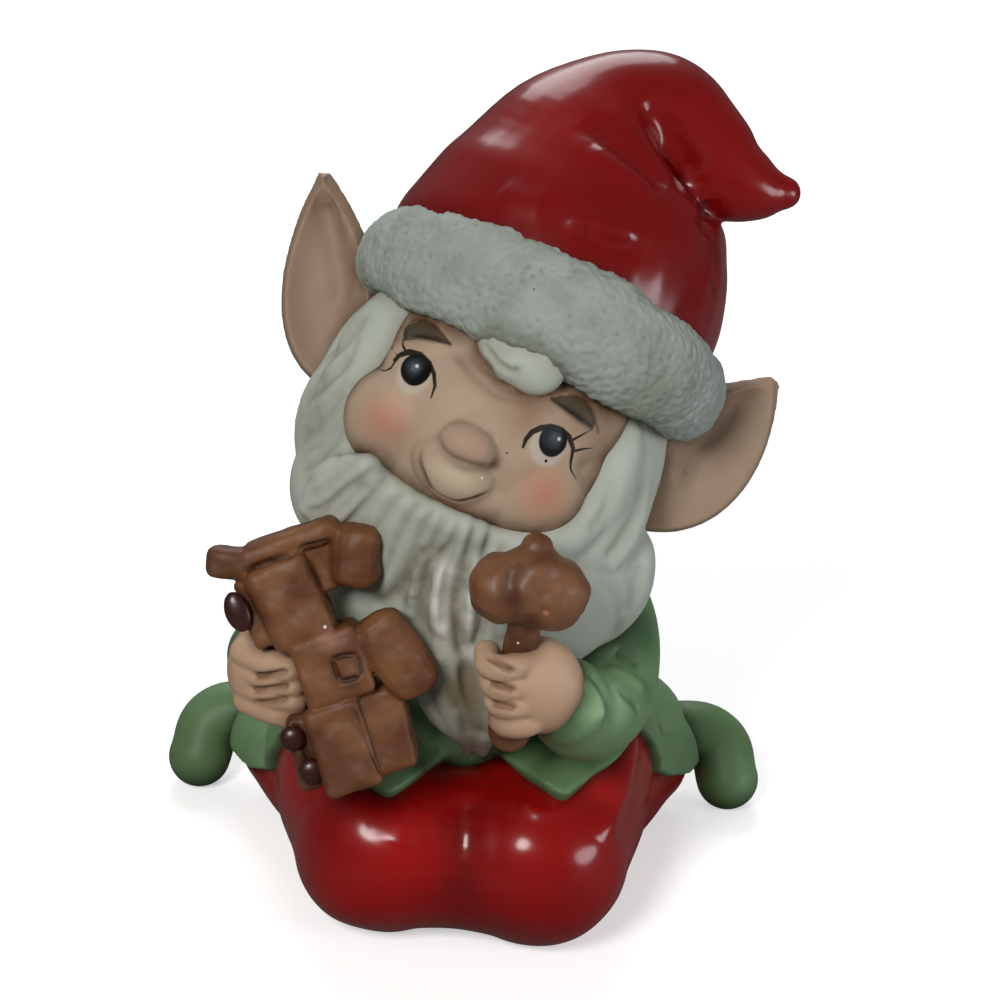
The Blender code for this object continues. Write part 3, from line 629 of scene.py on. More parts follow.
# The face: round cheeks, a bulb nose, a raised upper lip and painted features
face = {
    "grain": 0.28, "smoothing": 26,
    "color": (190, 167, 144), "patch": (174, 148, 124), "washAndShade": (82, 50, 28),
    # place in the front view, radius mm, softness mm, colour, amount: brown dabs by the nose, the brow and the
    # right edge of the face, partly airbrushed paint and partly painted shade, and pale dabs on the brow, the
    # left cheek and the upper lip as painted light
    "airbrushPaintLightAndShade": (
        ((528, 418), 2.2, 3.0, (150, 112, 82), 0.65), ((590, 402), 3.4, 3.2, (122, 90, 66), 0.75),
        ((458, 350), 1.6, 2.6, (206, 184, 160), 0.4), ((600, 440), 2.0, 3.0, (150, 118, 90), 0.5),
        ((455, 478), 3.0, 2.6, (216, 198, 172), 0.7), ((400, 400), 2.0, 2.5, (214, 192, 166), 0.5),
        ((430, 330), 2.0, 3.0, (168, 134, 104), 0.4),
    ),
    "patchAmount": 0.4, "patchScale": 120.0, "hollow": 0.6, "hollowReach": 0.22, "contact": 0.88,
    "contactReach": 3.2, "line": 0.9, "roughness": 0.5, "specular": 0.14,
    # centre and radii in mm, in the head's frame: skull, two of the brow, jaw, nose, its bridge, upper lip,
    # chin and temple, then a cheek and an eyelid for each side
    "forms": (
        ((0.8, -3, 2), (17.8, 19, 17)), ((9.2, -4, 7.5), (9.6, 14.6, 10.5)),
        ((-7.2, -4, 7), (8.8, 14.6, 10.5)), ((0.8, -5, -3.4), (14.8, 15, 8.6)),
        ((0.4, -22.5, -1.2), (3.7, 3.6, 2.9)), ((0.4, -20.4, 1.4), (2.6, 2.4, 2.8)),
        ((0.3, -19.5, -4.4), (5.7, 4.0, 3.9)), ((1.8, -15.0, -5.4), (8, 6, 4.6)),
        ((14.2, -8.2, 1.4), (4.8, 6.8, 9)),
        ((-8.3, -12.4, -2.2), (7.6, 7.2, 7.2)), ((-8.9, -14.2, 4.4), (5, 4.4, 5)),
        ((9.7, -12.4, -2.2), (7.6, 7.2, 7.2)), ((9.5, -14.2, 4.4), (5, 4.4, 5)),
    ),
    # path, width mm, depth mm, stain: the smile, the crease under the nose and two wrinkles of the brow
    "lines": (
        (((421, 445), (419, 460), (424, 475), (431, 488), (442, 496), (456, 501), (468, 500), (481, 496),
          (491, 491)), 0.36, 0.6, 1.0),
        (((438, 438), (441, 448), (449, 457), (462, 463), (481, 468), (491, 466), (496, 454)),
         0.8, 0.35, 0.4),
        (((451, 346), (467, 366), (483, 382), (504, 395), (534, 401)), 0.8, 0.45, 0.35),
        (((462, 344), (476, 361), (490, 373), (503, 382)), 0.8, 0.45, 0.35),
    ),
}


def makeFace():
    piece = melt("face", balls(headFrame, *face["forms"]), face["grain"], face["smoothing"])
    draw(piece, face["lines"])
    return piece


# Ears: pointed leaves with a fold, thick enough to be cast
ears = {
    "grain": 0.32, "smoothing": 10, "wall": 2.3, "cup": 2.2, "root": 16.5, "rows": 48, "columns": 30,
    # by side: how far it reaches, the lean in degrees, and how much the lower edge is drawn in, mm
    "reach": {-1: 0.98, 1: 1.0}, "lean": {-1: -7, 1: 0}, "belly": {-1: 4.2, 1: 0},
    "color": (168, 142, 120), "patch": (150, 122, 100), "washAndShade": (84, 62, 44),
    "hollow": 0.6, "contact": 0.7, "roughness": 0.55,
    "folds": (((323, 186), (330, 220), (338, 255), (342, 285), (338, 318)),
              ((764, 384), (738, 408), (712, 432), (690, 462), (680, 490))),
}


def makeEars():
    forms = []
    for side in (-1, 1):
        inner = [Vector(point) for point in ((16.5, 2, 0), (17, 1, 8), (18, 1, 17), (31.6, 4, 25.5))]
        belly = ears["belly"][side]
        outer = [Vector(point) for point in ((19, 4, -1), (34.6 - belly, 5, -1.4), (38.4 - belly, 5, 13),
                                             (31.6, 4, 25.5))]
        lean = Matrix.Rotation(math.radians(ears["lean"][side]), 4, "Y")
        mesh = bpy.data.meshes.new("ear")
        clay = bmesh.new()
        rows, columns = ears["rows"], ears["columns"]
        grid = []
        for row in range(rows):
            rise = row / (rows - 1) * 0.995  # short of the tip, so that no face has a side of no length
            line = []
            for column in range(columns):
                across = column / (columns - 1)
                edges = []
                for edge in (inner, outer):
                    rest = 1 - rise
                    edges.append(edge[0] * rest ** 3 + edge[1] * 3 * rest ** 2 * rise
                                 + edge[2] * 3 * rest * rise ** 2 + edge[3] * rise ** 3)
                point = edges[0].lerp(edges[1], across)
                point.y += ears["cup"] * math.sin(math.pi * across) * math.sin(math.pi * rise) ** 0.7
                point.x = side * (ears["root"] + (point.x - ears["root"]) * ears["reach"][side]) + 1
                line.append(clay.verts.new(headFrame @ (lean @ point * mm)))
            grid.append(line)
        for row in range(rows - 1):
            for column in range(columns - 1):
                clay.faces.new((grid[row][column], grid[row][column + 1],
                                grid[row + 1][column + 1], grid[row + 1][column]))
        bmesh.ops.recalc_face_normals(clay, faces=clay.faces)
        clay.to_mesh(mesh)
        clay.free()
        form = formObject(mesh)
        wall = form.modifiers.new("wall", "SOLIDIFY")
        wall.thickness = ears["wall"] * mm
        wall.offset = 0
        forms.append(form)
    piece = melt("ears", forms, ears["grain"], ears["smoothing"])
    draw(piece, [(path, 1.7, 0.8, 0.2) for path in ears["folds"]])
    return piece


# Hair and beard: a soft mass with locks drawn into it, and strands laid round the back
hair = {
    "grain": 0.36, "smoothing": 14,
    "color": (198, 206, 195), "patch": (182, 189, 175), "washAndShade": (122, 106, 76),
    "patchAmount": 0.5, "patchScale": 110.0, "hollow": 0.4, "hollowReach": 0.3, "contact": 0.35,
    "line": 0.8, "roughness": 0.62, "specular": 0.35,
    # the beard turns darker and browner towards the bottom as painted shade, between the two heights in mm
    "low": (92, 76, 50), "lowShadeAmount": 0.85, "lowFrom": 31.0, "lowTo": 46.0,
    # place in the front view, radius mm, softness mm, colour, amount: painted shade in grey dabs on the left
    # side and under the trim and in brown dabs low on the beard; painted highlights in pale dabs on the lower
    # left and white dabs on the beard's locks and tip
    "airbrushPaintLightAndShade": (
        ((322, 436), 4.0, 4.0, (166, 174, 163), 0.6), ((330, 502), 3.2, 3.6, (222, 230, 220), 0.7),
        ((345, 320), 2.4, 3.0, (168, 172, 160), 0.6),
        ((444, 576), 2.0, 1.2, (255, 255, 252), 1.0), ((442, 604), 1.9, 1.2, (255, 255, 252), 1.0),
        ((444, 628), 1.3, 1.2, (255, 255, 252), 1.0), ((473, 598), 1.3, 1.1, (252, 255, 250), 0.9),
        ((470, 622), 1.1, 1.1, (252, 255, 250), 0.9), ((480, 735), 0.8, 1.4, (214, 216, 200), 0.7),
        ((462, 694), 3.4, 3.0, (104, 86, 58), 0.85), ((436, 652), 1.6, 2.6, (128, 112, 82), 0.6),
        ((456, 712), 0.5, 0.9, (214, 214, 198), 0.7),
    ),
    # the strands laid on the hair: azimuths in degrees, sizes and heights in mm in the head's frame
    "strandsRound": 27, "strandWidth": 3.4, "tipShare": 0.35, "strandSteps": 14, "strandFrom": 74,
    "strandTo": 292, "strandTop": 15, "strandEnd": -16, "strandWander": 3, "strandSink": 1.15, "wave": 0.09,
    "waveTurns": 5.2, "skullMiddle": 1.5, "castFrom": 60,
    # the beard's upper locks, in mm: how far a start lies to the left of, below and behind its place on the
    # face, how far the end is sunk, how much the middle stands out, and the radii from start to end
    "lockStart": (1.1, 2.1, 1.3), "lockEndSink": 1.4, "lockSwell": 0.6,
    "lockRadii": (2.1, 2.4, 2.7, 2.8, 2.7, 2.4, 1.9),
    # the places of a lock's start, middle and end in the front view
    "beardLocks": (
        ((376, 452), (338, 478), (312, 505)), ((386, 464), (352, 494), (322, 526)),
        ((400, 474), (372, 506), (342, 546)), ((413, 483), (390, 520), (366, 566)),
        ((427, 492), (408, 532), (390, 588)), ((442, 499), (424, 542), (412, 606)),
        ((456, 506), (440, 552), (434, 628)), ((470, 511), (458, 560), (452, 640)),
        ((484, 517), (474, 566), (470, 640)), ((498, 523), (490, 572), (488, 640)),
        ((512, 529), (508, 570), (508, 620)),
    ),
    # path, width mm, depth mm, stain
    "locks": (
        (((432, 544), (414, 562), (402, 588), (404, 616)), 0.9, 0.5, 0.8),
        (((452, 540), (436, 562), (426, 590), (424, 622), (432, 648)), 0.8, 0.6, 0.85),
        (((472, 552), (458, 580), (453, 610), (459, 638), (468, 656)), 0.9, 0.7, 1.0),
        (((488, 600), (482, 626), (472, 652)), 0.8, 0.6, 0.9),
        (((446, 556), (438, 585), (438, 615), (446, 642)), 1.1, -0.6, 0.0),
        (((478, 572), (471, 598), (471, 625)), 0.9, -0.5, 0.0),
        (((424, 552), (412, 576), (410, 600)), 0.9, -0.5, 0.0),
        (((448, 660), (460, 695), (471, 725), (470, 748)), 0.8, -0.4, 0.0),
        (((440, 656), (452, 690), (465, 722), (470, 752)), 1.0, 0.6, 0.7),
        (((470, 656), (466, 690), (472, 718), (479, 748)), 1.4, 0.8, 1.0),
        (((488, 690), (485, 722), (488, 744)), 0.9, 0.5, 0.6),
        (((418, 574), (398, 592), (372, 606)), 1.2, 0.5, 0.7),
        (((612, 478), (606, 510), (588, 536)), 1.2, 0.35, 0.2),
        (((640, 470), (636, 510), (618, 545), (604, 560)), 1.2, 0.4, 0.25),
        (((655, 490), (650, 530), (634, 565)), 1.2, 0.35, 0.25),
        (((596, 566), (614, 590), (618, 620), (603, 650)), 1.1, 0.4, 0.25),
        (((640, 560), (636, 590), (622, 615)), 1.1, 0.4, 0.25),
    ),
    "forelockLines": ((((484, 344), (496, 360), (511, 371), (521, 368)), 0.4, 0.5, 0.7),
                      (((508, 338), (522, 350), (538, 356)), 1.0, 0.2, 0.2)),
    # locks on the side of the head, each from a start to its end
    "sideStarts": ((366, 312), (352, 350), (345, 390), (346, 425), (354, 455), (368, 480)),
    "sideEnds": ((312, 372), (300, 405), (296, 440), (298, 472), (303, 500), (312, 528)),
}


def makeStrandTubes():
    tree, given, out = newGeometryTree(
        "strandTubes", "Paths",
        (("Width", "Float", 0.001), ("Tip share", "Float", hair["tipShare"])), "Strands")
    curves = tree.nodes.new("GeometryNodeMeshToCurve")
    spline = tree.nodes.new("GeometryNodeSplineParameter")
    swell = sums(tree, "SINE", sums(tree, "MULTIPLY", spline.outputs["Factor"], math.pi))
    share = sums(tree, "MAXIMUM", swell, given.outputs["Tip share"])
    half = sums(tree, "MULTIPLY", sums(tree, "MULTIPLY", share, given.outputs["Width"]), 0.5)
    setRadius = tree.nodes.new("GeometryNodeSetCurveRadius")
    circle = tree.nodes.new("GeometryNodeCurvePrimitiveCircle")
    circle.inputs["Resolution"].default_value = 14
    circle.inputs["Radius"].default_value = 1
    tubes = tree.nodes.new("GeometryNodeCurveToMesh")
    tubes.inputs["Fill Caps"].default_value = True
    realize = tree.nodes.new("GeometryNodeRealizeInstances")
    coat = tree.nodes.new("GeometryNodeSetMaterial")
    tree.links.new(half, setRadius.inputs["Radius"])
    wire(tree, (given, "Paths", curves, "Mesh"), (curves, "Curve", setRadius, "Curve"),
         (setRadius, "Curve", tubes, "Curve"), (circle, "Curve", tubes, "Profile Curve"),
         (tubes, "Mesh", realize, "Geometry"), (realize, "Geometry", coat, "Geometry"),
         (given, "Material", coat, "Material"), (coat, "Geometry", out, "Strands"))
    if "Scale" in tubes.inputs:
        wire(tree, (tree.nodes.new("GeometryNodeInputRadius"), 0, tubes, "Scale"))
    return tree


# Strands from under the trim down the sides and the back, laid on the hair's mass
def layStrands(mass):
    tree = treeOf(mass)
    turnOnly = headFrame.to_3x3()
    points, edges = [], []
    for number in range(hair["strandsRound"]):
        share = number / (hair["strandsRound"] - 1)
        azimuth = math.radians(hair["strandFrom"] + share * (hair["strandTo"] - hair["strandFrom"]))
        low = hair["strandEnd"] - hair["strandWander"] * math.sin(number * 2.4)
        first = len(points)
        for step in range(hair["strandSteps"]):
            t = step / (hair["strandSteps"] - 1)
            wave = azimuth + hair["wave"] * math.sin(t * hair["waveTurns"] + number * 1.3)
            out = Vector((math.sin(wave), -math.cos(wave), 0))
            height = hair["strandTop"] + (low - hair["strandTop"]) * t
            at = headFrame @ ((Vector((hair["skullMiddle"], 0, height)) + out * hair["castFrom"]) * mm)
            hit = tree.ray_cast(at, turnOnly @ -out)[0]
            if hit is not None:
                points.append(hit - turnOnly @ out * hair["strandSink"] * mm)
        edges += [(k, k + 1) for k in range(first, len(points) - 1)]
    mesh = bpy.data.meshes.new("strandPaths")
    mesh.from_pydata(points, edges, [])
    paths = formObject(mesh)
    growNodes(paths, makeStrandTubes(), {"Width": hair["strandWidth"] * mm})
    return paths


# The beard's upper locks: each starts at the edge of the face and runs down onto the beard's mass
def layLocks(skinPiece, mass):
    skin, base = treeOf([skinPiece]), treeOf(mass)
    starts, forms = [], []
    for first, middle, last in hair["beardLocks"]:
        across, down, inward = hair["lockStart"]
        start = spotOn(skin, first) - (sightRight * across + sightUp * down + sightBack * inward) * mm
        end = spotOn(base, last) - sightBack * hair["lockEndSink"] * mm
        away = ((start - sightEye).length + (end - sightEye).length) / 2 - hair["lockSwell"] * mm
        between = sightEye + sightRay(*middle) * away
        forms += limb([knot / mm for knot in curveThrough((start, between, end), 3)], hair["lockRadii"])
        starts.append(start / mm)
    return forms + limb(starts, [hair["lockRadii"][-1]] * len(starts))


def makeHair(skinPiece):
    skullForms = balls(headFrame, ((2.2, 3, 2), (23.5, 19.4, 23)), ((-11.4, -1, -4), (10, 12, 13)),
                       ((16, -1, -4), (10.5, 12, 13.5)), ((-9.6, -4, -12), (9, 10, 9.5)))
    beardForms = [
        ball((0.6, -14, 50), (20.5, 13, 15.5)),
        ball((1.2, -22.5, 40), (8.5, 6.5, 10.5)),
        *limb([(-3, -26, 44), (-0.5, -26.4, 36), (0.4, -22, 27.4)], [3.4, 2.8, 0.8]),
        *limb([(4, -26, 43), (2.4, -26.6, 36), (2.4, -23, 28)], [3.2, 2.6, 0.8]),
        *limb([(17, -13, 58), (19.4, -12.6, 51), (17, -13, 44), (12, -14, 38.4)], [4, 4.6, 4, 1.6]),
        *limb([(12, -20, 54), (14.5, -18.5, 47), (11, -19, 40)], [3.4, 3.6, 1.6]),
    ]
    forelock = balls(headFrame, ((-1.2, -19.1, 13.4), (4.2, 3.2, 4.4), (0, -25, 0)),
                     ((1.0, -19.4, 12), (3.6, 3.3, 4.2)), ((2.9, -19.5, 12.1), (4.4, 3.3, 4.3), (0, 25, 0)))
    borders = [
        *balls(headFrame, ((-14.6, -7.4, 2), (5.8, 6.2, 13)), ((16.8, -7.6, 0), (5.8, 6.2, 12.5))),
        *limb([(17.6, -9.4, 4), (17, -11.6, -3.4), (12.6, -13.4, -9), (8, -14.4, -14)],
              [3, 3.6, 4, 3.6], headFrame),
    ]
    borders += layLocks(skinPiece, skullForms + beardForms)
    strands = layStrands(skullForms)
    forms = skullForms + beardForms + forelock + borders + [strands]
    piece = melt("hairAndBeard", forms, hair["grain"], hair["smoothing"])
    lines = list(hair["locks"])
    starts, ends = hair["sideStarts"], hair["sideEnds"]
    for k, (start, end) in enumerate(zip(starts, ends)):
        middle = (start[0] * 0.45 + end[0] * 0.55 + 6, start[1] * 0.45 + end[1] * 0.55)
        lines.append(((start, middle, end), 1.0 if k % 2 else 1.3, 0.45, 0.45))
        if k + 1 < len(starts):
            between = [((p[0] + q[0]) / 2, (p[1] + q[1]) / 2) for p, q in
                       zip((start, middle, end), (starts[k + 1], middle, ends[k + 1]))]
            between[1] = (middle[0] + 2, middle[1] + 20)
            lines.append((tuple(between), 0.7, 0.25, 0.3))
    for here, beside in zip(hair["beardLocks"], hair["beardLocks"][1:]):
        path = [((p[0] + q[0]) / 2, (p[1] + q[1]) / 2 + 6) for p, q in zip(here, beside)]
        lines.append((tuple(path), 0.6, 0.3, 0.5))
    draw(piece, lines + list(hair["forelockLines"]))
    return piece


# The fur trim: an oval ring, higher in front, covered in small tufts
trim = {
    "grain": 0.26, "smoothing": 10, "rise": 17.6, "halfThickness": 4.0, "tufts": 0.8, "tuftSpacing": 0.5,
    "tuftRange": ((0.45, 0.8, 0.1), (0.75, 1.4, 0.22)), "tuftsPerSquareMetre": 2.0e6, "seed": 7,
    "middle": (1.7, 0.6), "ringRadii": (21.9, 20.6), "thick": 10, "frontThick": 3, "frontSpread": 1.6,
    "frontRise": 2.2, "drop": 0.4, "dents": 9, "dentHeight": 0.25, "dentStart": 1.2, "sag": 0.7,
    "fur": (0.22, 0.8), "waves": (0.3, 3.4), "bump": 1.0,
    "color": (170, 179, 173), "patch": (146, 154, 142), "washAndShade": (92, 92, 72),
    "patchAmount": 0.6, "patchScale": 240.0, "hollow": 0.5, "hollowReach": 0.16, "contact": 0.75,
    # grey dabs on the right side as painted shade, and a brown dab under the left end, partly wash and partly
    # painted shade
    "airbrushPaintLightAndShade": (
        ((655, 395), 5.0, 5.0, (132, 138, 122), 0.7), ((600, 330), 4.0, 6.0, (158, 166, 158), 0.5),
        ((372, 290), 2.0, 3.0, (120, 112, 88), 0.6),
    ),
    "roughness": 0.75, "specular": 0.3,
}


def makeFurTufts():
    tree, given, out = newGeometryTree(
        "furTufts", "Surface",
        (("Spacing", "Float", 0.001), ("Tuft size", "Float", 0.001), ("Seed", "Int", 4)), "Fur")
    scatter = tree.nodes.new("GeometryNodeDistributePointsOnFaces")
    scatter.distribute_method = "POISSON"
    scatter.inputs["Density Max"].default_value = trim["tuftsPerSquareMetre"]
    tuft = tree.nodes.new("GeometryNodeMeshIcoSphere")
    tuft.inputs["Subdivisions"].default_value = 2
    tuft.inputs["Radius"].default_value = 1
    size = tree.nodes.new("FunctionNodeRandomValue")
    size.data_type = "FLOAT_VECTOR"
    size.inputs[0].default_value, size.inputs[1].default_value = trim["tuftRange"]
    scaled = tree.nodes.new("ShaderNodeVectorMath")
    scaled.operation = "SCALE"
    place = tree.nodes.new("GeometryNodeInstanceOnPoints")
    realize = tree.nodes.new("GeometryNodeRealizeInstances")
    join = tree.nodes.new("GeometryNodeJoinGeometry")
    coat = tree.nodes.new("GeometryNodeSetMaterial")
    wire(tree, (given, "Surface", scatter, "Mesh"), (given, "Spacing", scatter, "Distance Min"),
         (given, "Seed", scatter, "Seed"), (given, "Seed", size, "Seed"), (size, 0, scaled, 0),
         (given, "Tuft size", scaled, "Scale"), (scatter, "Points", place, "Points"),
         (tuft, "Mesh", place, "Instance"), (scatter, "Rotation", place, "Rotation"),
         (scaled, 0, place, "Scale"), (place, "Instances", realize, "Geometry"),
         (realize, "Geometry", join, "Geometry"), (given, "Surface", join, "Geometry"),
         (join, "Geometry", coat, "Geometry"), (given, "Material", coat, "Material"),
         (coat, "Geometry", out, "Fur"))
    return tree


def makeTrim():
    bpy.ops.mesh.primitive_torus_add(major_radius=1, minor_radius=0.5, major_segments=160, minor_segments=48)
    ring = bpy.context.object
    for vertex in ring.data.vertices:
        x, y, z = vertex.co
        out = math.hypot(x, y)
        front = (1 - y / out) / 2
        height = trim["thick"] + (trim["frontThick"] + trim["frontSpread"]) * front ** 2
        stretch = (out - 1) * 2 * trim["halfThickness"]
        dent = trim["dentHeight"] * math.sin(math.atan2(y, x) * trim["dents"] + trim["dentStart"]) * front
        sag = trim["sag"] * (x / out - 1)
        vertex.co = headFrame @ (Vector((
            trim["middle"][0] + x / out * (trim["ringRadii"][0] + stretch),
            trim["middle"][1] + y / out * (trim["ringRadii"][1] + stretch),
            trim["rise"] + z * height + trim["frontRise"] * front ** 2 - trim["drop"] + dent + sag,
        )) * mm)
    growNodes(ring, makeFurTufts(), {"Spacing": trim["tuftSpacing"] * mm, "Tuft size": trim["tufts"] * mm,
                                     "Seed": trim["seed"]})
    piece = melt("furTrim", [ring], trim["grain"], trim["smoothing"])
    ripple(piece, *trim["waves"])
    ripple(piece, *trim["fur"])
    return piece


# The stocking hat: one glossy red cone whose tail has flopped over, with pressed folds
hat = {
    "grain": 0.36, "smoothing": 40,
    "color": (138, 7, 7), "patch": (116, 5, 5), "washAndShade": (48, 3, 3),
    "patchAmount": 0.6, "patchScale": 60.0, "hollow": 0.6, "hollowReach": 0.3, "contact": 0.35,
    "line": 0.45, "roughness": 0.5, "specular": 0.1, "coat": 0.7, "coatRoughness": 0.19,
    "specks": 0.0, "ripple": (0.2, 7.5),
    # two tiny dark marks that the hat has on its right side, a lighter red dab on the upper left as painted
    # light, and a darker red dab low on the right as painted shade
    "airbrushPaintLightAndShade": (
        ((714, 290), 0.45, 0.35, (30, 14, 12), 0.85), ((712, 282), 0.3, 0.25, (30, 14, 12), 0.7),
        ((560, 120), 5.0, 6.0, (158, 8, 8), 0.5), ((680, 300), 3.0, 5.0, (104, 6, 6), 0.6),
    ),
    # x, y, z and radius in mm, from under the trim to the tip of the tail
    "spine": ((0.7, 1.2, 19, 23), (0.4, 1.8, 26, 22.5), (-0.4, 2.4, 34, 20), (-0.8, 2.6, 41, 15.9),
              (0.6, 2.5, 46.2, 11.2), (3.6, 2.2, 48.6, 8.6), (8.4, 2, 47.8, 7.3), (14.2, 1.5, 46.2, 6.1),
              (18.8, 1.2, 46.6, 4.3), (21.7, 1, 47.6, 2.3)),
    "folds": (
        (((582, 117), (612, 138), (645, 165), (670, 190)), 2.3, 1.0, 0.35),
        (((640, 100), (660, 124), (680, 150), (695, 180)), 2.0, 0.65, 0.25),
        (((590, 144), (612, 162), (636, 180), (656, 194)), 1.9, -0.4, 0.0),
        (((562, 212), (588, 222), (616, 230), (640, 234)), 1.7, -0.4, 0.0),
        (((575, 228), (596, 239), (620, 247), (642, 250)), 1.5, 0.45, 0.1),
        (((498, 190), (520, 200), (546, 206)), 2.2, -0.4, 0.0),
        (((704, 200), (706, 216), (704, 234)), 1.9, 0.6, 0.2),
    ),
}


def makeHat():
    spine = curveThrough(hat["spine"], 5)
    forms = limb([knot.to_3d() for knot in spine], [knot[3] for knot in spine], headFrame, rounded=(-1,))
    forms.append(ball((11.4, 1.8, 42.6), (4.6, 5.5, 3.6), headFrame))
    piece = melt("hat", forms, hat["grain"], hat["smoothing"])
    ripple(piece, *hat["ripple"])
    draw(piece, hat["folds"])
    return piece


# The jacket: chest, sleeves and a skirt of cloth laid over the lap
jacket = {
    "grain": 0.44, "smoothing": 4, "wall": 1.7,
    # the skirt: columns round, rows down, the top's elevation in degrees, rows until it leaves the chest, and
    # degrees by which the left side's hem is turned
    "skirtColumns": 360, "skirtRows": 36, "skirtTop": 62, "sunkRows": 12, "leftTurn": 6,
    "color": (120, 154, 110), "patch": (88, 122, 80), "washAndShade": (24, 36, 18),
    "patchAmount": 0.7, "patchScale": 45.0, "hollow": 0.75, "hollowReach": 0.3, "contact": 0.7,
    "line": 0.6, "roughness": 0.5, "specular": 0.4,
    # pale green dabs at the cuff as painted highlights, darker green dabs on the upper sleeve, by the cuff and
    # on the left of the hem as painted shade, and a dab of the paint's own green on the skirt
    "airbrushPaintLightAndShade": (
        ((618, 696), 2.8, 3.4, (182, 218, 172), 0.9), ((600, 712), 1.6, 2.4, (180, 216, 170), 0.6),
        ((640, 632), 3.2, 3.0, (52, 88, 48), 0.9), ((648, 690), 1.2, 2.2, (74, 110, 66), 0.6),
        ((560, 766), 3.2, 3.6, (122, 154, 100), 0.7), ((425, 768), 2.0, 2.4, (52, 62, 36), 0.8),
    ),
    # how far down the skirt hangs: azimuth and elevation in degrees, seen from inside the lap
    "hem": ((0, 48), (12, 46), (19, 34), (26, 26), (39, 29), (53, 30), (75, 32),
            (78, 21), (91, 5), (100, 0), (130, -4), (180, -2)),
    "wrinkles": (
        (((581, 676), (592, 690), (599, 706), (598, 724)), 1.0, -0.6, 0.0),
        (((588, 672), (602, 690), (608, 710), (604, 728)), 0.9, 0.6, 0.5),
        (((612, 650), (628, 656), (642, 668)), 1.2, 0.6, 0.4),
        (((606, 668), (626, 676), (646, 690)), 1.1, -0.5, 0.0),
        (((618, 690), (632, 700), (640, 712)), 0.9, 0.5, 0.5),
    ),
}


def makeSkirt(lap):
    tree = treeOf(lap)
    centre = Vector((0, 0, 8)) * mm
    columns, rows, top = jacket["skirtColumns"], jacket["skirtRows"], jacket["skirtTop"]
    knots = jacket["hem"]
    mesh = bpy.data.meshes.new("skirt")
    clay = bmesh.new()
    grid = []
    for column in range(columns):
        degrees = -180 + 360 * column / columns
        turned = degrees if degrees > 0 else jacket["leftTurn"] - degrees
        hem = np.interp(turned, [knot[0] for knot in knots], [knot[1] for knot in knots])
        line = []
        for row in range(rows):
            elevation = math.radians(top + (hem - top) * row / (rows - 1))
            azimuth = math.radians(degrees)
            out = Vector((math.cos(elevation) * math.sin(azimuth), -math.cos(elevation) * math.cos(azimuth),
                          math.sin(elevation)))
            place, normal, _, _ = tree.ray_cast(centre + out * 0.2, -out)
            share = min(1, row / jacket["sunkRows"])
            line.append(clay.verts.new(place + normal * (jacket["wall"] * share - (1 - share)) * mm))
        grid.append(line)
    for column in range(columns):
        beside = grid[(column + 1) % columns]
        for row in range(rows - 1):
            clay.faces.new((grid[column][row], grid[column][row + 1], beside[row + 1], beside[row]))
    for _ in range(5):
        bmesh.ops.smooth_vert(clay, verts=clay.verts, factor=0.5, use_axis_x=True, use_axis_y=True,
                              use_axis_z=True)
    bmesh.ops.recalc_face_normals(clay, faces=clay.faces)
    clay.to_mesh(mesh)
    clay.free()
    form = formObject(mesh)
    wall = form.modifiers.new("wall", "SOLIDIFY")
    wall.thickness = jacket["wall"] * 2 * mm
    wall.offset = -1
    return form


def makeJacket(legs):
    chest = [
        ball((-0.5, 1, 33), (20, 16, 20)),
        ball((-0.8, 1, 42), (20, 11, 9.5)),
        ball((0, 11, 14), (30, 12, 10)),
    ]
    sleeves = []
    right = [(9, 2, 44), (17, -5, 41.5), (18.6, -14, 34), (15.4, -23, 34.5), (12.8, -28.5, 39.5)]
    left = [(-11, 2, 44), (-19.2, -5, 41.5), (-22.6, -13, 36.5), (-25, -17, 37.5), (-26, -20.5, 39.8)]
    for route in (right, left):
        sleeves += limb(route, [6.7, 6.83, 6.7, 6.23, 5.7])
    skirt = makeSkirt(legs + chest)
    piece = melt("jacket", chest + sleeves + [skirt], jacket["grain"], jacket["smoothing"])
    draw(piece, jacket["wrinkles"])
    return piece


# The trousers: two glossy thighs bent at the knee over folded shins
trousers = {
    "grain": 0.42, "smoothing": 14,
    "color": (158, 8, 7), "patch": (126, 6, 6), "washAndShade": (50, 4, 4),
    "patchAmount": 0.6, "patchScale": 60.0, "hollow": 0.6, "hollowReach": 0.3, "contact": 0.5,
    "line": 0.6, "roughness": 0.5, "specular": 0.1, "coat": 0.7, "coatRoughness": 0.18, "specks": 0.0,
    "ripple": (0.4, 8.5),
    # bright red dabs on the right hip and on the knees as painted light, and a dark red dab low between the
    # knees as painted shade
    "airbrushPaintLightAndShade": (
        ((606, 790), 2.4, 3.4, (196, 34, 26), 0.6), ((400, 850), 4.0, 5.0, (178, 12, 10), 0.6),
        ((530, 870), 4.0, 5.0, (172, 11, 9), 0.5), ((455, 905), 3.0, 4.0, (112, 6, 6), 0.5),
    ),
    "ridges": (
        (((632, 726), (626, 760), (616, 800), (600, 846)), 2.2, -1.0, 0.0),
        (((466, 790), (464, 830), (462, 870), (461, 918)), 2.3, 0.6, 0.6),
        (((418, 800), (408, 830), (400, 850)), 2.0, -0.3, 0.0),
        (((520, 800), (540, 812), (560, 812)), 1.2, -0.35, 0.0),
    ),
}


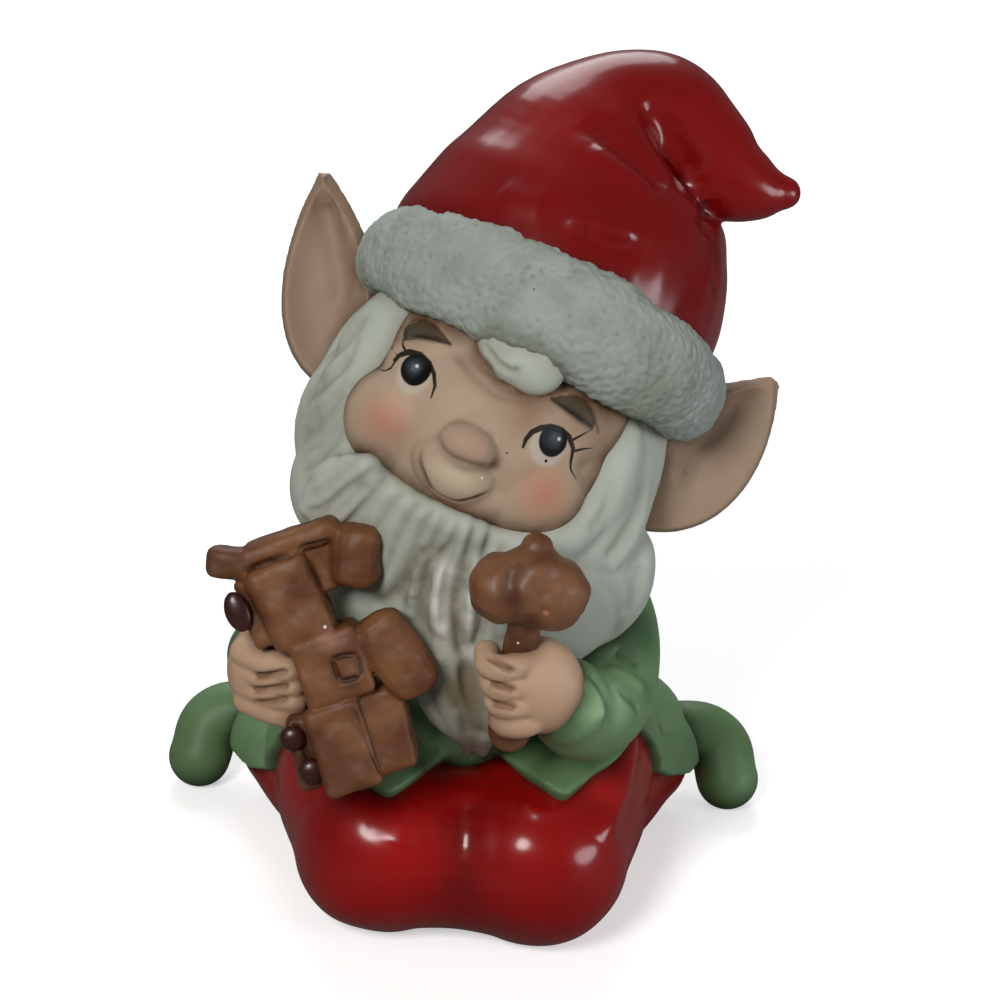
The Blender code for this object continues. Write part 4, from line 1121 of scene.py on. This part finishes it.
def trouserForms():
    forms = []
    for side in (-1, 1):
        knee = Vector((side * 10.3, -21 - side * 0.7, 11.6))
        hip = Vector((side * 11.9, 6, 14))
        middle = (knee + hip) / 2 + Vector((side * 1.2, 0, 0.8))
        forms += limb([hip, middle, knee], [14, 13.72, 12.4])
        forms += limb([(side * 14, -8, 8), (side * 20, 2, 8), (side * 25, 10, 8)], [9, 8.4, 7.4])
    forms.append(ball((0, 10, 13), (20, 11, 14)))
    forms.append(ball((0, 2, 9), (19, 19, 10.5)))
    forms += limb([(-10.3, -20.3, 11.6), (0, -21, 11.6), (10.3, -21.7, 11.6)], [12.0, 10.9, 12.0])
    return forms


# The base is cut flat by laying every point that is below the table on it
def restOnTable(piece):
    points = readPoints(piece)
    points[:, 2] = np.maximum(points[:, 2], 0)
    movePoints(piece, points)


def makeTrousers():
    piece = melt("trousers", trouserForms(), trousers["grain"], trousers["smoothing"])
    ripple(piece, *trousers["ripple"])
    draw(piece, trousers["ridges"])
    restOnTable(piece)
    return piece


# The boots, turned out behind
boots = {
    "grain": 0.34, "smoothing": 5,
    "color": (112, 146, 102), "patch": (86, 116, 72), "washAndShade": (20, 28, 14),
    "patchAmount": 0.8, "patchScale": 50.0, "hollow": 0.6, "contact": 0.8, "roughness": 0.5,
    # the boots turn darker towards the bottom as painted shade, between the two heights in mm
    "low": (30, 42, 20), "lowShadeAmount": 0.9, "lowFrom": 4.0, "lowTo": 11.5,
}


def makeBoots():
    forms = []
    for side in (-1, 1):
        toe = Vector((side * 38.5, 11.5, 4.2))
        arch = toe + Vector((-side * 2, 3.4, 4.4))
        ankle = toe + Vector((-side * 9.5, 3, 6))
        forms += limb([ankle, arch, toe], [4.5, 4.5, 4.5])
    piece = melt("boots", forms, boots["grain"], boots["smoothing"])
    restOnTable(piece)
    return piece


# The hands: closed fists with pressed creases between the fingers
hands = {
    "grain": 0.25, "smoothing": 10,
    "color": (204, 170, 141), "patch": (196, 156, 124), "washAndShade": (104, 62, 36),
    "hollow": 0.7, "hollowReach": 0.16, "contact": 0.6, "line": 0.8, "roughness": 0.55,
    "creases": (
        (((487, 655), (500, 664), (516, 674)), 0.45, 0.7, 0.9),
        (((486, 680), (500, 686), (518, 692)), 0.45, 0.7, 0.9),
        (((488, 702), (502, 706), (518, 709)), 0.45, 0.7, 0.9),
        (((252, 676), (270, 675), (290, 671)), 0.45, 0.7, 0.9),
        (((250, 690), (270, 689), (292, 685)), 0.45, 0.7, 0.9),
        (((254, 703), (272, 702), (290, 698)), 0.45, 0.6, 0.9),
    ),
}


def makeHands():
    forms = [
        ball((9.2, -31, 43.2), (5.6, 4.9, 6.7), turn=(0, -14, 0)),
        ball((-26.2, -23.8, 39.8), (5.2, 5, 6.6)),
    ]
    for finger in range(4):
        right = [(7.4, -32.6, 0.8), (5, -34.4, 0.3), (2.7, -33.6, 0), (2.2, -31, 0.3)]
        lift = Vector((0.7 * finger, 0, 47.2 - 2.75 * finger))
        forms += limb([Vector(point) + lift for point in right], [1.75] * 4)
        left = [(-29, -25.8, 0), (-26, -28, 0), (-22.6, -29.4, 0)]
        lift = Vector((0.15 * finger, 0, 43.2 - 2.35 * finger))
        forms += limb([Vector(point) + lift for point in left], [1.9] * 3)
    piece = melt("hands", forms, hands["grain"], hands["smoothing"])
    draw(piece, hands["creases"])
    return piece


# The mallet: two soft lobes, a nub on top and a handle through the fist
mallet = {
    "grain": 0.27, "smoothing": 6,
    "color": (134, 92, 62), "patch": (102, 60, 36), "washAndShade": (58, 24, 11),
    "patchAmount": 0.9, "patchScale": 170.0, "hollow": 0.75, "hollowReach": 0.25, "contact": 0.65,
    "line": 0.8, "roughness": 0.5, "specular": 0.4, "coat": 0.1, "coatRoughness": 0.3, "specks": 0.3,
    "bump": 0.5, "ripple": (0.35, 2.4),
    # darker dabs on the lower side of the head and on the handle below the fist, and a pale pink dab and a
    # white dot as painted highlights
    "airbrushPaintLightAndShade": (
        ((512, 600), 1.4, 2.0, (84, 38, 18), 0.75), ((530, 622), 1.2, 1.6, (74, 32, 14), 0.7),
        ((517, 640), 1.2, 1.4, (70, 30, 14), 0.6), ((546, 613), 0.3, 0.3, (214, 140, 112), 0.8),
        ((518, 643), 0.16, 0.1, (255, 250, 235), 1.0), ((508, 735), 1.0, 1.2, (96, 44, 22), 0.6),
    ),
    "valley": (((516, 556), (511, 574), (510, 594), (516, 620)), 1.0, 0.35, 0.6),
}


def makeMallet():
    top = Vector((6.9, -33.5, 58.6))
    forms = [
        ball(top + Vector((2.2, 0, -0.5)), (5.55, 4.8, 4.8), turn=(0, 18, 0)),
        ball(top + Vector((-3.2, 0, -0.2)), (4.3, 4.5, 4.4), turn=(0, -14, 0)),
        ball(top + Vector((-0.4, -0.2, 0.1)), (6.4, 4.7, 4.7)),
    ]
    neck = [top + Vector((0.7, 0, 1)), top + Vector((0.9, 0.5, 3.3)), top + Vector((0.8, 1, 4.9))]
    forms += limb(neck, [4.6, 3.2, 2])
    handle = [top, top + Vector((-0.6, 2, -12)), top + Vector((-1.4, 1, -21.6))]
    forms += limb(handle, [2.3, 2.3, 2.6])
    piece = melt("mallet", forms, mallet["grain"], mallet["smoothing"])
    ripple(piece, *mallet["ripple"])
    draw(piece, [mallet["valley"]])
    return piece


# The carved toy: three stacked blocks, two thick slabs on one side and wheels on the other
toy = {
    "grain": 0.26, "smoothing": 3, "half": 4.5,
    "color": (132, 86, 50), "patch": (90, 48, 24), "washAndShade": (44, 17, 8),
    "patchAmount": 0.85, "patchScale": 150.0, "hollow": 0.7, "hollowReach": 0.3, "contact": 0.65,
    "line": 0.9, "roughness": 0.56, "specular": 0.4, "coat": 0.06, "coatRoughness": 0.3, "specks": 0.5,
    "bump": 0.7,
    # darker brown dabs on the upper slab, the lower blocks and their right sides, partly the wood's mottling
    # and partly painted shade, and a pale pink dab, a white dot and a lighter dab as painted highlights
    "airbrushPaintLightAndShade": (
        ((362, 562), 2.0, 2.2, (104, 66, 40), 0.7), ((404, 640), 2.2, 2.4, (112, 70, 44), 0.7),
        ((398, 745), 2.6, 2.8, (98, 50, 28), 0.8), ((312, 690), 2.2, 2.4, (116, 66, 36), 0.6),
        ((225, 560), 1.6, 2.0, (96, 62, 38), 0.7), ((330, 640), 1.0, 1.6, (190, 140, 122), 0.5),
        ((325, 627), 0.2, 0.1, (255, 250, 240), 1.0), ((330, 770), 1.6, 2.0, (104, 56, 30), 0.6),
        ((366, 745), 1.0, 1.6, (168, 118, 80), 0.6),
    ),
    "lumps": (0.3, 2.6), "roughGrain": (0.05, 0.9),
    "seams": (
        (((331, 660), (343, 656), (357, 655)), 0.3, 0.5, 0.9),
        (((331, 660), (335, 671), (340, 682)), 0.35, 0.6, 0.9),
        (((340, 682), (350, 680), (360, 677)), 0.3, 0.5, 0.9),
        (((357, 655), (360, 666), (362, 677)), 0.3, 0.4, 0.8),
        (((352, 708), (366, 738), (383, 778)), 0.45, 0.35, 0.5),
        (((292, 720), (305, 750), (322, 790)), 0.45, 0.6, 0.9),
        (((245, 572), (270, 562), (300, 553)), 0.4, 0.6, 0.9),
        (((300, 548), (312, 545), (330, 540)), 0.4, 0.5, 0.8),
    ),
}


def makeToy():
    half = toy["half"]
    forms = [
        block((-6.6, -half, 3.8), (1.8, half, 15.2), toyFrame, 1.4, -5),
        block((-6.4, -half * 0.7, 15.2), (6.8, half, 18), toyFrame, 1.2),
        block((1, -half * 0.3, 9), (6, half, 16.5), toyFrame),
        block((-4.6, -half, -4.6), (4.3, half, 4.6), toyFrame, 0.9),
        block((-6, -half * 1.05, -16), (1.4, half, -4.4), toyFrame, 0.9, 2),
        block((0, -half * 0.6, -15.6), (6.6, half, -4.6), toyFrame, 1.0, 7),
        block((-9, -half * 0.55, -14.4), (-5.4, half * 0.9, -4.6), toyFrame, 1.0, 8),
        block((-8.6, -half * 0.5, 5), (-5.8, half * 0.9, 14), toyFrame),
        block((4.2, -3.9, 7.9), (10.6, 1.3, 16.5), toyFrame, 2.4, 24),
        block((4.4, -4.8, -7.3), (11.6, 0.4, 4.9), toyFrame, 2.5, -16),
        block((-11, -3.2, 14.6), (-5, 2.4, 18.6), toyFrame, 1.3, 24),
    ]
    piece = melt("toy", forms, toy["grain"], toy["smoothing"])
    ripple(piece, *toy["lumps"])
    ripple(piece, *toy["roughGrain"])
    draw(piece, toy["seams"])
    return piece


wheels = {
    "grain": 0.24, "smoothing": 3, "places": ((-9, 10.6, 1.6), (-8, -7, 1), (-7.2, -11.8, 1)),
    "color": (66, 26, 18), "patch": (40, 14, 10), "washAndShade": (20, 8, 5),
    "roughness": 0.35, "coat": 0.3, "coatRoughness": 0.2,
}


def makeWheels():
    forms = [ball((x, -2.8, z), (1.7, 0.9, 1.7 * stretch), toyFrame) for x, z, stretch in wheels["places"]]
    return melt("wheels", forms, wheels["grain"], wheels["smoothing"])


# Eyes, lids, lashes, brows, blush and lip are laid on the face by the brush groups, with painted highlights:
# glints and sheens on the irises and two small pale dots on the face
eyePaint = {
    # name, softness mm, amount, colour, in the order in which they are painted
    "layers": (
        ("blush", 3.2, 0.55, (196, 100, 66)), ("noseBlush", 2.2, 0.14, (196, 100, 66)),
        ("lip", 0.4, 0.5, (190, 120, 96)), ("whites", 0.5, 0.75, (204, 195, 180)),
        ("brows", 0.1, 0.9, (68, 65, 53)), ("browEdges", 0.4, 0.85, (34, 31, 26)),
        ("irises", 0.12, 1, (6, 7, 10)), ("irisSheens", 0.8, 0.4, (96, 112, 124)),
        ("lashes", 0.08, 0.95, (6, 7, 10)), ("glints", 0.2, 1, (240, 244, 248)),
        ("specks", 0.06, 1, (6, 7, 10)), ("glitter", 0.08, 1, (240, 244, 248)),
    ),
    "irisCoat": 0.04,
    # dabs: place in the front view, radius mm
    "blush": (((385, 418), 2.2), ((547, 494), 2.5)),
    "noseBlush": (((470, 446), 2.2),),
    "whites": (((414, 376), 2.35), ((548, 446), 2.6)),
    "irises": (((416, 370), 2.05), ((553, 441), 2.05)),
    # painted reflections: pale sheens on the irises
    "irisSheens": (((414, 367), 0.7), ((555, 438), 0.7)),
    # painted highlights: the glints in the eyes
    "glints": (((417, 366), 0.16), ((559, 439), 0.18)),
    "specks": (((546, 461), 0.22), ((507, 453), 0.12)),
    # painted highlights: two small pale dots on the face
    "glitter": (((482, 478), 0.15), ((372, 459), 0.1)),
    # strokes: places in the front view, a width in mm for each
    "lip": ((((426, 486), (436, 497), (452, 506), (470, 506)), (0.5, 1.2, 1.3, 0.5)),),
    "lashes": (
        (((394, 360), (400, 355), (409, 352), (420, 355), (429, 363), (434, 374), (435, 386), (431, 398)),
         (0.4, 0.75, 0.9, 0.9, 0.7, 0.55, 0.45, 0.2)),
        (((523, 447), (526, 439), (532, 432), (541, 428), (551, 427), (561, 430), (569, 437), (573, 448)),
         (0.35, 0.6, 0.7, 0.8, 0.85, 0.85, 0.75, 0.6)),
        (((573, 448), (571, 460), (571, 470), (576, 479)), (0.6, 0.42, 0.36, 0.18)),
        (((399, 357), (392, 348), (388, 338)), (0.4, 0.3, 0.1)),
        (((407, 353), (403, 346), (403, 338)), (0.4, 0.3, 0.1)),
        (((398, 358), (391, 368), (384, 371), (378, 369)), (0.4, 0.3, 0.22, 0.1)),
        (((571, 441), (580, 436), (592, 429)), (0.4, 0.3, 0.1)),
        (((574, 451), (583, 449), (593, 448)), (0.4, 0.3, 0.1)),
    ),
    "brows": (
        (((405, 339), (409, 331), (419, 328), (431, 332), (441, 338), (450, 344)),
         (0.5, 2.0, 2.7, 2.2, 1.3, 0.3)),
        (((552, 399), (562, 401), (574, 405), (584, 412), (592, 423)), (0.4, 1.5, 2.4, 2.3, 1.1)),
    ),
    "browEdges": (
        (((404, 340), (418, 337), (434, 339), (450, 344)), (0.5, 0.8, 0.8, 0.3)),
        (((404, 341), (406, 328), (414, 320), (425, 319), (437, 328)), (0.4, 0.5, 0.5, 0.45, 0.2)),
        (((552, 400), (566, 409), (580, 419), (592, 428)), (0.3, 0.8, 0.9, 0.5)),
        (((570, 395), (584, 400), (592, 411), (598, 432)), (0.2, 0.5, 0.5, 0.3)),
    ),
}


def paintFeatures(facePiece):
    skin = treeOf([facePiece])

    def features(tree, colour, shader):
        point = tree.nodes.new("ShaderNodeTexCoord").outputs["Object"]
        masks = {}
        for name, softness, amount, tint in eyePaint["layers"]:
            marks = []
            for places, widths in eyePaint[name]:
                if isinstance(widths, tuple):
                    for k in range(len(places) - 1):
                        marks.append(useGroup(
                            tree, brushLine, Point=point, From=spotOn(skin, places[k]),
                            To=spotOn(skin, places[k + 1]), Start_width=widths[k] * mm,
                            End_width=widths[k + 1] * mm, Softness=softness * mm).outputs[0])
                else:
                    marks.append(useGroup(tree, dab, Point=point, Centre=spotOn(skin, places),
                                          Radius=widths * mm, Softness=softness * mm).outputs[0])
            mask = marks[0]
            for mark in marks[1:]:
                mask = sums(tree, "MAXIMUM", mask, mark)
            masks[name] = mask
            share = mask if amount == 1 else sums(tree, "MULTIPLY", mask, amount)
            # the painted sheen is laid only on the irises
            if name == "irisSheens":
                share = sums(tree, "MULTIPLY", share, masks["irises"])
            colour = blendColours(tree, share, colour, linear(tint))
        irisCoat = sums(tree, "MULTIPLY", masks["irises"], eyePaint["irisCoat"])
        tree.links.new(irisCoat, shader.inputs["Coat Weight"])
        return colour

    return features


legForms = trouserForms()
jacketPiece = makeJacket(legForms)
for form in legForms:
    bpy.data.objects.remove(form)
print("jacket ready")
facePiece = makeFace()
earsPiece = makeEars()
hairPiece = makeHair(facePiece)
print("head ready")
trimPiece = makeTrim()
hatPiece = makeHat()
print("hat ready")
trousersPiece = makeTrousers()
bootsPiece = makeBoots()
handsPiece = makeHands()
malletPiece = makeMallet()
toyPiece = makeToy()
wheelsPiece = makeWheels()
print("all pieces melted")

# Each piece with its looks, the pieces that it touches and the paint laid on it by brush
painted = (
    (facePiece, face, (hairPiece, trimPiece), paintFeatures(facePiece)),
    (earsPiece, ears, (hairPiece, trimPiece), None),
    (hairPiece, hair, (facePiece, trimPiece, jacketPiece, malletPiece, toyPiece), None),
    (trimPiece, trim, (hairPiece, facePiece), None),
    (hatPiece, hat, (trimPiece,), None),
    (jacketPiece, jacket, (hairPiece, trousersPiece, handsPiece), None),
    (trousersPiece, trousers, (jacketPiece, bootsPiece), None),
    (bootsPiece, boots, (trousersPiece, jacketPiece), None),
    (handsPiece, hands, (jacketPiece, malletPiece, toyPiece), None),
    (malletPiece, mallet, (handsPiece,), None),
    (toyPiece, toy, (handsPiece, wheelsPiece), None),
    (wheelsPiece, wheels, (), None),
)
for piece, looks, touching, _ in painted:
    markCavity(piece)
    if touching:
        markContact(piece, touching, looks.get("contactReach", 2.2))
print("hollows and contacts marked:", sum(len(entry[0].data.vertices) for entry in painted), "points")
for piece, looks, _, brushwork in painted:
    finish(piece, looks, brushwork)
print("painted")


# A plain pale floor, a soft studio and the camera
studio = {
    "floor": (250, 250, 250), "floorSeenByClay": (0.22, 0.22, 0.22, 1), "floorGlow": 0.5,
    "white": (1, 1, 1, 1), "worldStrength": 0.12, "aim": (0, 0, 50), "sensor": 36,
    # name, place in mm, size in mm, watts, colour
    "lamps": (
        ("key", (-170, -380, 360), 170, 1.42, (1, 0.98, 0.95)),
        ("fill", (430, -200, 130), 190, 0.68, (0.95, 0.97, 1)),
        ("back", (-40, 420, 400), 400, 1.4, (1, 1, 1)),
    ),
}


def makeStudio():
    bpy.ops.mesh.primitive_plane_add(size=3, location=(0, 0, 0))
    floor = bpy.context.object
    floor.name = "studioFloor"
    material = bpy.data.materials.new("floorPaint")
    material.use_nodes = True
    shader = material.node_tree.nodes["Principled BSDF"]
    shader.inputs["Roughness"].default_value = 0.8
    shader.inputs["Emission Color"].default_value = studio["white"]
    seen = material.node_tree.nodes.new("ShaderNodeLightPath")
    tone = blendColours(material.node_tree, seen.outputs["Is Camera Ray"], studio["floorSeenByClay"],
                        linear(studio["floor"]))
    material.node_tree.links.new(tone, shader.inputs["Base Color"])
    glow = sums(material.node_tree, "MULTIPLY", seen.outputs["Is Camera Ray"], studio["floorGlow"])
    material.node_tree.links.new(glow, shader.inputs["Emission Strength"])
    floor.data.materials.append(material)
    for name, place, size, watts, colour in studio["lamps"]:
        lamp = bpy.data.lights.new(name, "AREA")
        lamp.shape = "DISK"
        lamp.size = size * mm
        lamp.energy = watts
        lamp.color = colour
        holder = bpy.data.objects.new(name, lamp)
        bpy.context.scene.collection.objects.link(holder)
        holder.location = Vector(place) * mm
        aim = Vector(studio["aim"]) * mm - holder.location
        holder.rotation_euler = aim.to_track_quat("-Z", "Y").to_euler()
    world = bpy.data.worlds.new("studio")
    world.use_nodes = True
    world.node_tree.nodes["Background"].inputs[0].default_value = studio["white"]
    seen = world.node_tree.nodes.new("ShaderNodeLightPath")
    strength = sums(world.node_tree, "MAXIMUM", seen.outputs["Is Camera Ray"], studio["worldStrength"])
    world.node_tree.links.new(strength, world.node_tree.nodes["Background"].inputs[1])
    bpy.context.scene.world = world
    lens = bpy.data.cameras.new("front")
    lens.sensor_width = studio["sensor"]
    lens.lens = studio["sensor"] * sight["unitsPerSlope"] / sight["units"]
    lens.shift_x = 0.5 - sight["targetAt"][0] / sight["units"]
    lens.shift_y = sight["targetAt"][1] / sight["units"] - 0.5
    lens.clip_start = 0.01
    camera = bpy.data.objects.new("front", lens)
    bpy.context.scene.collection.objects.link(camera)
    view = Matrix((sightRight, sightUp, sightBack)).transposed().to_4x4()
    view.translation = sightEye
    camera.matrix_world = view
    bpy.context.scene.camera = camera
    bpy.context.scene.view_settings.view_transform = "Standard"


makeStudio()
print("studio ready")
